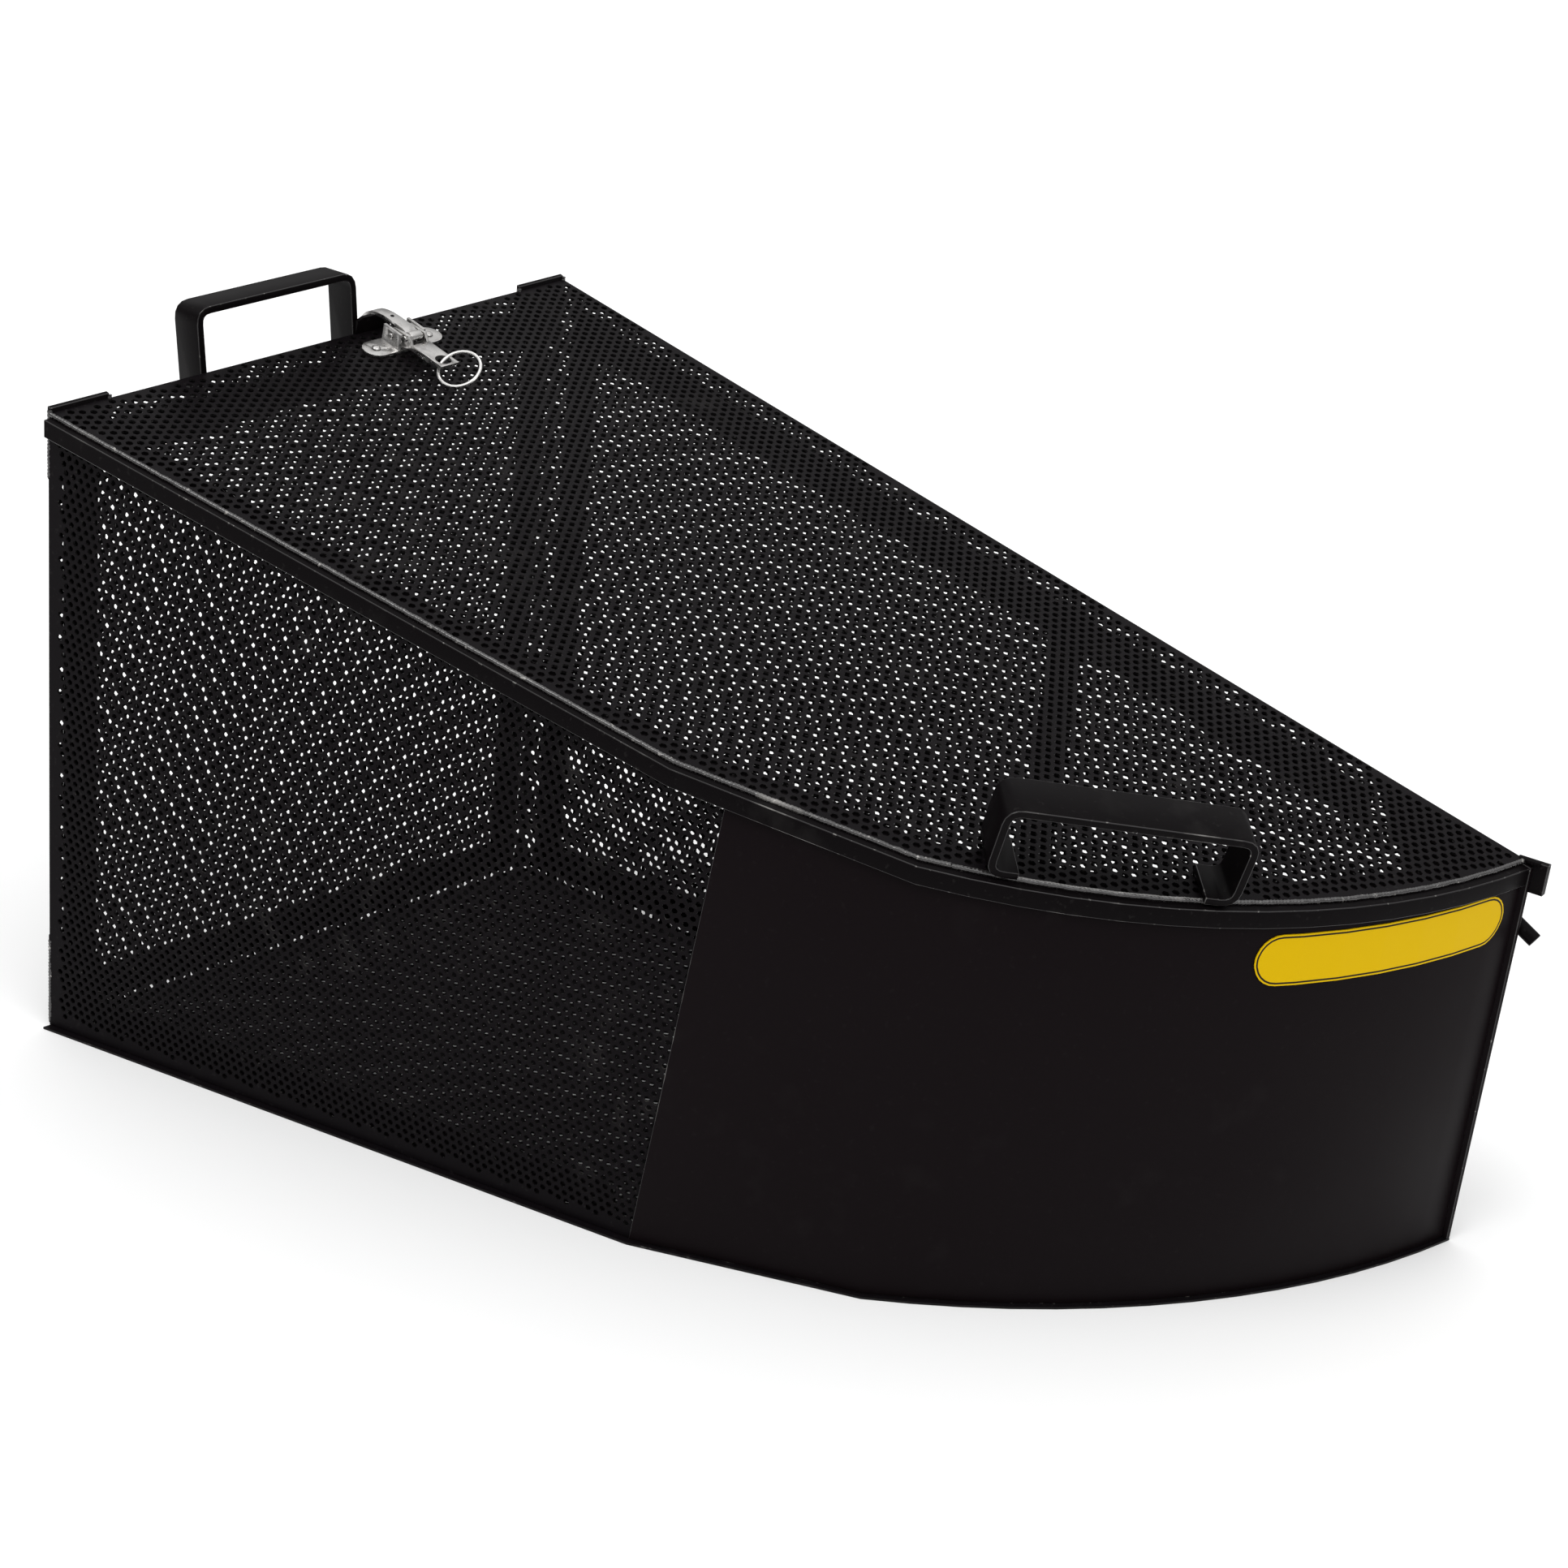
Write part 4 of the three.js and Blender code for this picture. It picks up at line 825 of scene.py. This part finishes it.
@dataclass
class BentPanel(PunchedSheet):
    """The perforated outer sheet, punched flat and then bent at the first bend.

    Its rows of holes run with the sloping top edge, and they are closer together
    than those of the other sheets.
    """

    node: str = "outer_wall_mesh"
    pitch: float = 6.1 * MM
    hole: float = 4.3 * MM
    margin: float = 9 * MM
    same_place: float = 0.05 * MM
    digits: int = 5

    def _stations(self) -> tuple:
        """Reads the sheet's three stations from the CAD node.

        Returns:
            Plan places of the outer face, their top heights, the floor height
            and the thickness.
        """
        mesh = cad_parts[self.node].data
        low = min(v.co.z for v in mesh.vertices)
        corners = sorted({(round(v.co.x, self.digits), round(v.co.y, self.digits))
                          for v in mesh.vertices if v.co.z < low + self.same_place})
        pairs = [sorted(corners[i:i + 2], key=lambda c: c[1])
                 for i in range(0, len(corners), 2)]
        plan = [Vector(pair[0]) for pair in pairs]
        tops = [max(v.co.z for v in mesh.vertices
                    if (v.co.xy - place).length < self.same_place) for place in plan]
        along = (plan[1] - plan[0]).normalized()
        inner = Vector(pairs[1][1]) - plan[1]
        return plan, tops, low, abs(along.cross(inner))

    def build(self, tree: PerforationTree, palette: Palette) -> None:
        """Punches the flat strip, bends it and puts it in place.

        Args:
            tree: The perforation tree.
            palette: The finishes.
        """
        plan, tops, low, thickness = self._stations()
        first = (plan[1] - plan[0]).length
        total = first + (plan[2] - plan[1]).length
        slope = Matrix.Rotation(math.atan2(tops[0] - tops[1], first), 2)
        outline = [slope @ Vector(p) for p in (
            (0, low), (first, low), (total, low), (total, tops[2]), (first, tops[1]),
            (0, tops[0]))]
        middle = Vector([(min(p[k] for p in outline) + max(p[k] for p in outline)) / 2
                         for k in range(2)])
        mesh = self.punch(tree, palette, [tuple(p - middle) for p in outline], thickness)
        level = slope.inverted()
        for vertex in mesh.vertices:
            s, z = level @ (vertex.co.xy + middle)
            start, end = plan[:2] if s <= first else plan[1:]
            run = s if s <= first else s - first
            u = (end - start).normalized()
            place = start + u * run + Vector((u.y, -u.x)) * vertex.co.z
            vertex.co = (place.x, place.y, z)
        mesh.update()
        self.place(mesh)


def node_copy(node: str, *finishes: Material) -> tuple:
    """Copies a CAD node's mesh and gives it its finishes.

    Args:
        node: The node.
        *finishes: The materials of its slots.

    Returns:
        The copy, and a BMesh of it whose corners are merged.
    """
    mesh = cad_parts[node].data.copy()
    mesh.materials.clear()
    for finish in finishes:
        mesh.materials.append(finish)
    bm = bmesh.new()
    bm.from_mesh(mesh)
    bmesh.ops.remove_doubles(bm, verts=bm.verts, dist=MERGE)
    return mesh, bm


@dataclass
class SteelPiece:
    """A rigid CAD node with its edges eased, as coated steel has them."""

    node: str
    body: str = ROOT
    slot: Slot = Slot.COAT
    edge: float = 0.5 * MM
    segments: int = 2
    bevel_from: float = 35.0
    flat_within: float = 0.5
    smooth: float = 28.0
    # Faces that look along this direction take the lighter edge finish: a painted highlight where
    # a face catches the light.
    rubbed_and_glint: Vector | None = None
    slack: float = 0.0

    def build(self, material: Material, edge_highlight_material: Material) -> None:
        """Copies the node's mesh, draws it in by its slack, eases its edges and places it.

        Args:
            material: Its finish.
            edge_highlight_material: The finish of its eased edges and of faces that look along the
                piece's highlight direction; lighter than material, it paints a highlight on them.
        """
        mesh, bm = node_copy(self.node, material, edge_highlight_material)
        bmesh.ops.dissolve_limit(bm, angle_limit=math.radians(self.flat_within),
                                 verts=bm.verts, edges=bm.edges)
        bm.normal_update()
        for vertex in bm.verts:
            vertex.co -= vertex.normal * self.slack
        for face in bm.faces:
            face.smooth = True
            # Faces along the highlight direction take the second, lighter finish as a painted
            # highlight.
            face.material_index = int(self.rubbed_and_glint is not None
                                      and abs(face.normal.dot(self.rubbed_and_glint)) > ALONG)
        bm.to_mesh(mesh)
        bm.free()
        helper = link_object("helper", mesh)
        if self.edge > 0:
            bevel = helper.modifiers.new("Eased edges", "BEVEL")
            bevel.width = self.edge
            bevel.segments = self.segments
            bevel.limit_method = "ANGLE"
            bevel.angle_limit = math.radians(self.bevel_from)
            # The eased edges take the second, lighter finish: a painted highlight along each edge.
            bevel.material = 1
        made = evaluated_mesh(helper)
        drop(helper)
        made.set_sharp_from_angle(angle=math.radians(self.smooth))
        piece = add_piece(self.node + "_steel", made, self.body)
        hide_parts(self.node)


@dataclass
class SideField:
    """The plain yellow field, with a distance to its edge for the thin dark line."""

    node: str = "side_field"
    outward: tuple = (0.85, -0.5, 0)
    least_facing: float = 0.6
    cuts: int = 11

    def build(self, palette: Palette) -> None:
        """Copies the node, cuts it finely and measures each point's way to the edge.

        Args:
            palette: The finishes.
        """
        mesh, bm = node_copy(self.node, palette.yellow)
        bm.normal_update()
        outward = Vector(self.outward)
        chosen = {f for f in bm.faces if f.normal.dot(outward) > self.least_facing}
        rim = [e for e in bm.edges if sum(f in chosen for f in e.link_faces) == 1]
        a, b = (np.array([e.verts[k].co[:] for e in rim]) for k in range(2))
        bmesh.ops.subdivide_edges(bm, edges=bm.edges, cuts=self.cuts, use_grid_fill=True)
        bmesh.ops.triangulate(bm, faces=bm.faces)
        bm.to_mesh(mesh)
        bm.free()
        d = b - a
        layer = mesh.attributes.new("edge_distance", "FLOAT", "POINT")
        for vertex in mesh.vertices:
            p = np.array(vertex.co)
            t = np.clip(((p - a) * d).sum(1) / (d * d).sum(1), 0, 1)
            layer.data[vertex.index].value = float(
                np.linalg.norm(p - a - d * t[:, None], axis=1).min())
        piece = add_piece(self.node + "_vinyl", mesh)
        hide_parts(self.node)


@dataclass
class Studio:
    """Pale floor, soft lights and the camera at the photograph's place."""

    eye: tuple = (1.2934521801536842, -1.0945948611702778, 0.8886232064948336)
    right: tuple = (0.8140966536441591, 0.5718077308405721, 0.1014029460929907)
    up: tuple = (-0.29070103988483403, 0.2500982238378107, 0.9235495567878578)
    ahead: tuple = (-0.5027320796759027, 0.7813365455321595, -0.3698292290782511)
    lens: float = 60.305
    sensor: float = 36.0
    clip: tuple = (0.01, 200.0)
    floor_size: float = 60.0
    floor_gap: float = 0.2 * MM
    floor_tone: float = 0.93
    floor_roughness: float = 0.9
    floor_specular: float = 0.1
    horizon: float = 0.12
    zenith: float = 1.35
    # Name, azimuth from -Y towards +X, elevation, strength and width of each lamp.
    lamps: tuple = (("Key", -20.0, 62.0, 0.9, 30.0), ("Side", 75.0, 48.0, 0.5, 40.0))

    def camera(self) -> None:
        """Places the camera, measured from the rear outer corner of the floor sheet."""
        low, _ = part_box("floor_panel")
        data = bpy.data.cameras.new("Camera")
        data.sensor_width = self.sensor
        data.lens = self.lens
        data.clip_start, data.clip_end = self.clip
        view = link_object("Camera", data)
        r, u, w = (Vector(v).normalized() for v in (self.right, self.up, self.ahead))
        place = Matrix((r, u, -w)).transposed().to_4x4()
        place.translation = Vector(self.eye) + Vector((low.x, low.y, 0))
        view.matrix_world = place
        bpy.context.scene.camera = view

    def floor(self) -> None:
        """Lays the pale floor under the catcher."""
        half = self.floor_size / 2
        mesh = bpy.data.meshes.new("Floor")
        mesh.from_pydata([(-half, -half, 0), (half, -half, 0), (half, half, 0), (-half, half, 0)],
                         [], [(0, 1, 2, 3)])
        plane = link_object("Floor", mesh)
        plane.location.z = -self.floor_gap
        material, _, shader = new_material("Floor, pale")
        shader.inputs["Base Color"].default_value = (*[self.floor_tone] * 3, 1)
        shader.inputs["Roughness"].default_value = self.floor_roughness
        shader.inputs["Specular IOR Level"].default_value = self.floor_specular
        mesh.materials.append(material)

    def world(self) -> None:
        """A white surround for the camera; as a light it is brightest overhead."""
        world = bpy.data.worlds.new("Surround")
        bpy.context.scene.world = world
        world.use_nodes = True
        tree = world.node_tree
        tree.nodes.clear()
        white = (1, 1, 1, 1)
        seen = new_node(tree, "ShaderNodeLightPath").outputs["Is Camera Ray"]
        way = new_node(tree, "ShaderNodeTexCoord").outputs["Generated"]
        height = new_node(tree, "ShaderNodeSeparateXYZ", {0: way}).outputs["Z"]
        glow = map_range(tree, height, 0.0, 1.0, self.horizon, self.zenith)
        soft = new_node(tree, "ShaderNodeBackground", {"Color": white, "Strength": glow})
        plain = new_node(tree, "ShaderNodeBackground", {"Color": white})
        mix = new_node(tree, "ShaderNodeMixShader", {
            0: seen, 1: soft.outputs[0], 2: plain.outputs[0]})
        new_node(tree, "ShaderNodeOutputWorld", {"Surface": mix.outputs[0]})

    @staticmethod
    def sun(name: str, azimuth: float, elevation: float, strength: float,
            angle: float) -> None:
        """Adds a soft distant lamp.

        Args:
            name: The lamp's name.
            azimuth: Degrees round from -Y towards +X, where the light comes from.
            elevation: Degrees above the horizon.
            strength: Strength in watts per square metre.
            angle: Its width in degrees.
        """
        lamp = bpy.data.lights.new(name, "SUN")
        lamp.energy = strength
        lamp.angle = math.radians(angle)
        holder = link_object(name, lamp)
        a, e = math.radians(azimuth), math.radians(elevation)
        toward = Vector((math.sin(a) * math.cos(e), -math.cos(a) * math.cos(e), math.sin(e)))
        holder.rotation_mode = "QUATERNION"
        holder.rotation_quaternion = toward.to_track_quat("Z", "Y")

    def build(self) -> None:
        """Builds the whole stage."""
        self.camera()
        self.floor()
        self.world()
        for lamp in self.lamps:
            self.sun(*lamp)
        bpy.context.scene.view_settings.view_transform = "Standard"


@dataclass
class Sheets:
    """The six perforated sheets."""

    floor_margin: float = 14 * MM

    def build(self, palette: Palette) -> None:
        """Builds each sheet.

        Args:
            palette: The finishes.
        """
        tree = PerforationTree()
        up, inward = Vector((0, 0, 1)), Vector((0, 1, 0))
        for sheet in (
                PerforatedPanel("top_panel", toward=TOP_FACE),
                PerforatedPanel("floor_panel", margin=self.floor_margin, toward=up),
                PerforatedPanel("rear_wall", toward=REARWARD, along=inward),
                PerforatedPanel("inner_wall_rear", toward=inward),
                PerforatedPanel("inner_wall_front", toward=inward),
                BentPanel()):
            sheet.build(tree, palette)


class WeldTree(MeshTree):
    """Lays a rippled weld bead along a path."""

    NAME = "Weld bead"
    INPUTS = (
        ("Radius", "Float", None), ("Ripple", "Float", 2.4 * MM), ("Step", "Float", 0.8 * MM),
        ("Unevenness", "Float", 0.5), ("Sides", "Int", 7), ("Material", "Material", None))
    NOISE_SCALE = 190.0
    RIPPLE_SHARE = 0.22
    LEAST_SHARE = 0.84

    def _build(self, source: object) -> object:
        """Sweeps a circle of varying size along the wandering path."""
        path = self._node("GeometryNodeMeshToCurve", {"Mesh": source["Geometry"]})[0]
        even = self._node("GeometryNodeResampleCurve", {
            "Curve": path, "Length": source["Step"]}, mode="LENGTH")[0]
        noise = self._node("ShaderNodeTexNoise", {"Scale": self.NOISE_SCALE})
        along = self._node("GeometryNodeSplineParameter")["Length"]
        turns = self._math("DIVIDE", along, source["Ripple"])
        wave = self._math("ABSOLUTE", self._math("SINE", self._math("MULTIPLY", turns, math.pi)))
        rough = self._math("MULTIPLY", self._math("SUBTRACT", noise[0], 0.5),
                           source["Unevenness"])
        size = self._math("ADD", self._math("MULTIPLY", wave, self.RIPPLE_SHARE),
                          self._math("ADD", rough, self.LEAST_SHARE))
        shift = self._node("ShaderNodeVectorMath", {
            0: noise["Color"], 1: (0.5, 0.5, 0.5)}, operation="SUBTRACT")[0]
        stray = self._node("ShaderNodeVectorMath", {
            0: shift, "Scale": self._math("MULTIPLY", source["Radius"], source["Unevenness"])},
            operation="SCALE")[0]
        wander = self._node("GeometryNodeSetPosition", {"Geometry": even, "Offset": stray})[0]
        profile = self._node("GeometryNodeCurvePrimitiveCircle", {
            "Radius": 1.0, "Resolution": source["Sides"]}, mode="RADIUS")["Curve"]
        sweep = self._node("GeometryNodeCurveToMesh", {
            "Curve": wander, "Profile Curve": profile, "Fill Caps": True,
            "Scale": self._math("MULTIPLY", size, source["Radius"])})[0]
        soft = self._node("GeometryNodeSetShadeSmooth", {0: sweep})[0]
        real = self._node("GeometryNodeRealizeInstances", {0: soft})[0]
        return self._coated(real, source["Material"])

    def run(self, paths: list, **values: object) -> Mesh:
        """Lays beads.

        Args:
            paths: One list of places for each bead.
            **values: The tree's inputs by name.

        Returns:
            One mesh with a closed shell for each bead.
        """
        places, edges = [], []
        for path in paths:
            first = len(places)
            places.extend(tuple(p) for p in path)
            edges.extend((first + i, first + i + 1) for i in range(len(path) - 1))
        mesh = bpy.data.meshes.new("paths")
        mesh.from_pydata(places, edges, [])
        return self._evaluated(mesh, values)


@dataclass
class Welds:
    """Weld beads along the rim, round the rear plates and at the tip, and a bright bead on the rim
    at the front handle that paints its highlight.
    """

    rim: float = 1.7 * MM
    fillet: float = 1.8 * MM
    # Radius of the bright bead that paints the rim's highlight between the front handle's feet.
    handle: float = 1.0 * MM
    tip: float = 2.0 * MM
    foot: float = 22 * MM
    raised: float = 0.9 * MM
    sunk: float = 0.4
    side_gap: float = 0.6 * MM
    above_floor: float = 8 * MM
    near_low: float = 4 * MM
    level: float = 0.3
    corner_gap: float = 0.04
    least_step: float = 0.5 * MM
    lug_ends: tuple = (2 * MM, 5 * MM)
    plates: tuple = ("corner_plate_top_outer", "corner_plate_top_inner",
                     "corner_plate_low_outer")

    def _rim_path(self) -> list:
        """Follows the edge of the top sheet from the rear outer corner to the tip."""
        sheet = FlatOutline.of("top_panel", TOP_FACE, Vector((1, 0, 0)))
        ring = [sheet.to_world @ Vector((x, y, -self.sunk * sheet.thickness))
                for x, y in sheet.points]
        count = len(ring)
        start = min(range(count), key=lambda i: ring[i].x + ring[i].y)
        end = max(range(count), key=lambda i: ring[i].x)
        ways = [[ring[(start + turn * i) % count] for i in range(turn * (end - start) % count + 1)]
                for turn in (1, -1)]
        return max(ways, key=len)

    def _plate_paths(self) -> list:
        """Follows the sides and the lower edge of each rear plate."""
        paths = []
        for node in self.plates:
            plate = FlatOutline.of(node, REARWARD, Vector((0, 1, 0)))
            ring = [plate.to_world @ Vector((x, y, -plate.thickness)) for x, y in plate.points]
            low = min(p.z for p in ring)
            for a, b in zip(ring, ring[1:] + ring[:1]):
                level = abs(a.z - b.z) < self.level * (a - b).length
                if not level or self.above_floor < min(a.z, b.z) < low + self.near_low:
                    paths.append([a.lerp(b, self.corner_gap), b.lerp(a, self.corner_gap)])
        return paths

    def _rim_highlight_path(self, rim: list) -> list:
        """Takes the part of the rim between the feet of the front handle, for the bead that paints
        its highlight.
        """
        low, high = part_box("front_handle")
        reach = [low.x + self.foot, high.x - self.foot]
        raised = Vector((0, 0, self.raised))
        path = []
        for a, b in zip(rim, rim[1:]):
            part = [min(max((x - a.x) / (b.x - a.x), 0), 1) for x in reach]
            if part[1] - part[0] > 0:
                path += [a.lerp(b, f) + raised for f in part]
        return [p for i, p in enumerate(path)
                if i == 0 or (p - path[i - 1]).length > self.least_step]

    def _tip_paths(self, tip: Vector) -> list:
        """Two short beads that hold the lug at the tip."""
        low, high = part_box("tip_lug")
        side = low.y - self.side_gap
        start, end = low.x + self.lug_ends[0], high.x - self.lug_ends[1]
        return [[Vector((start, side, high.z)), Vector((end, side, high.z))],
                [Vector((tip.x, side, high.z)), Vector((tip.x, side, low.z))]]

    def build(self, palette: Palette) -> None:
        """Lays every bead.

        Args:
            palette: The finishes.
        """
        tree = WeldTree()
        rim = self._rim_path()
        runs = (
            # The rim and plate beads take the weld finish, whose light patches are painted glints.
            ("rim_weld", [rim], self.rim, palette.weld),
            ("plate_welds", self._plate_paths(), self.fillet, palette.weld),
            # A bright bead between the handle's feet paints the rim's highlight.
            ("rim_highlight_bead", [self._rim_highlight_path(rim)], self.handle, palette.rim_highlight),
            ("tip_welds", self._tip_paths(rim[-1]), self.tip, palette.coat),
        )
        for name, paths, radius, finish in runs:
            add_piece(name, tree.run(paths, Radius=radius, Material=finish))


@dataclass
class SteelWork:
    """Frame bars, solid front, rim, handles and hitch."""

    front: tuple = ("deflector", "front_plate")
    front_edge: float = 0.4 * MM
    coated: tuple = (
        "top_rim", "rear_post_inner", "rear_post_outer", "rear_rail_top", "rear_rail_bottom",
        "inner_post_rear", "inner_post_mid", "inner_rail_top_rear", "inner_rail_bottom",
        "inner_rail_top_front", "inlet_rail", "outer_rail_bottom", "corner_plate_top_outer",
        "corner_plate_top_inner", "corner_plate_low_outer", "rear_handle", "front_handle",
        "hitch_pin", "hitch_socket", "tip_lug")

    def build(self, palette: Palette) -> None:
        """Builds each piece of steel.

        Args:
            palette: The finishes.
        """
        # palette.edge is lighter than the coat: scuffs and a painted highlight along the eased
        # edges.
        for node in self.front:
            SteelPiece(node, edge=self.front_edge).build(palette.front, palette.edge)
        for node in self.coated:
            SteelPiece(node).build(palette.coat, palette.edge)


@dataclass
class LatchFrame:
    """The latch's own axes, read from its two pins."""

    pin_ahead: float = 10 * MM
    pin_above: float = 2 * MM
    pivot_ahead: float = 22 * MM
    pivot_above: float = 9 * MM

    @staticmethod
    def _middle(node: str) -> Vector:
        """Returns the middle of a node's corners."""
        places = [v.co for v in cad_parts[node].data.vertices]
        return sum(places, Vector()) / len(places)

    def matrix(self) -> Matrix:
        """Works out where the latch's frame stands.

        Returns:
            A matrix from the latch's own frame (x away from the rear edge, y along
            it, z off the top sheet) to the world.
        """
        pivot, pin = self._middle("latch_pivot"), self._middle("latch_hook_pin")
        ends = [v.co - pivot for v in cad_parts["latch_pivot"].data.vertices]
        across = max(ends, key=lambda e: e.length)
        to_pin = (pin - pivot).normalized()
        across = (across - across.dot(to_pin) * to_pin).normalized()
        across = across if across.y > 0 else -across
        angle = math.atan2(self.pin_above, self.pin_ahead)
        side = to_pin.cross(across)
        ahead = math.cos(angle) * to_pin - math.sin(angle) * side
        up = math.sin(angle) * to_pin + math.cos(angle) * side
        place = Matrix((ahead, across, up)).transposed().to_4x4()
        place.translation = pivot - ahead * self.pivot_ahead - up * self.pivot_above
        return place


@dataclass
class RearTab:
    """Black curved tab on the rear edge, under the hook arm."""

    profile: tuple = ((-22, -3), (-22, 9), (-17, 11.5), (-9, 11.5), (-4, 10), (1, 8.5),
                      (5, 6.4), (8, 3.6), (9.5, 0), (9.5, -3))
    back: float = -4.5 * MM
    thickness: float = 2.5 * MM

    def build(self, palette: Palette) -> None:
        """Extrudes the tab and puts it in place.

        Args:
            palette: The finishes.
        """
        place = LatchFrame().matrix()
        count = len(self.profile)
        corners = [place @ Vector((x, y * MM, z * MM))
                   for x in (self.back, self.back + self.thickness) for y, z in self.profile]
        faces = [tuple(range(count)), tuple(range(2 * count - 1, count - 1, -1))]
        faces += [((i + 1) % count, i, i + count, (i + 1) % count + count) for i in range(count)]
        mesh = bpy.data.meshes.new("rear_tab")
        mesh.from_pydata([tuple(c) for c in corners], [], faces)
        mesh.materials.append(palette.coat)
        if signed_volume(mesh) < 0:
            mesh.flip_normals()
        add_piece("rear_tab", mesh)


@dataclass
class HookKnob:
    """Small dark rivet head on the hook arm."""

    at: tuple = (8.0, 0.0, 13.9)
    radius: float = 1.9 * MM
    height: float = 1.6 * MM
    around: int = 16
    rings: int = 8

    def build(self, palette: Palette) -> None:
        """Builds the head on the arm's upper face.

        Args:
            palette: The finishes.
        """
        bm = bmesh.new()
        bmesh.ops.create_uvsphere(bm, u_segments=self.around, v_segments=self.rings, radius=1.0)
        bmesh.ops.scale(bm, vec=(self.radius, self.radius, self.height), verts=bm.verts)
        for face in bm.faces:
            face.smooth = True
        bm.transform(LatchFrame().matrix() @ Matrix.Translation(Vector(self.at) * MM))
        mesh = bpy.data.meshes.new("hook_knob")
        bm.to_mesh(mesh)
        bm.free()
        mesh.materials.append(palette.coat)
        add_piece("hook_knob", mesh, "hook")


@dataclass
class ToggleLatch:
    """The zinc plated latch on the rear edge."""

    nodes: tuple = (
        ("latch_base", ROOT), ("latch_pivot", ROOT), ("latch_rivet_outer", ROOT),
        ("latch_rivet_inner", ROOT), ("latch_lever", "lever"), ("latch_hook_pin", "lever"),
        ("latch_hook", "hook"), ("pull_ring", "ring"))
    round_nodes: tuple = ("pull_ring", "latch_rivet_outer", "latch_rivet_inner")
    edge: float = 0.25 * MM
    smooth: float = 40.0
    ring_slack: float = 0.09 * MM

    def build(self, palette: Palette) -> None:
        """Builds each piece of the latch.

        The ring's wire is drawn in by its slack, because the solid grazes the
        lever's corner at the end of its range.

        Args:
            palette: The finishes.
        """
        # The latch's eased edges and the lever's side faces, which look across the latch, take
        # bright zinc as a painted highlight.
        across = LatchFrame().matrix().to_3x3().col[1]
        for node, body in self.nodes:
            is_ring = node == "pull_ring"
            piece = SteelPiece(
                node, body, Slot.ZINC, edge=0.0 if node in self.round_nodes else self.edge,
                smooth=self.smooth, rubbed_and_glint=across if node == "latch_lever" else None,
                slack=self.ring_slack if is_ring else 0.0)
            piece.build(palette.bright if is_ring else palette.zinc, palette.bright)


def main() -> None:
    """Builds the stage and every piece."""
    Studio().build()
    palette = Palette()
    Sheets().build(palette)
    SteelWork().build(palette)
    ToggleLatch().build(palette)
    RearTab().build(palette)
    HookKnob().build(palette)
    SideField().build(palette)
    Welds().build(palette)
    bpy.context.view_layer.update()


if __name__ == "__main__":
    main()
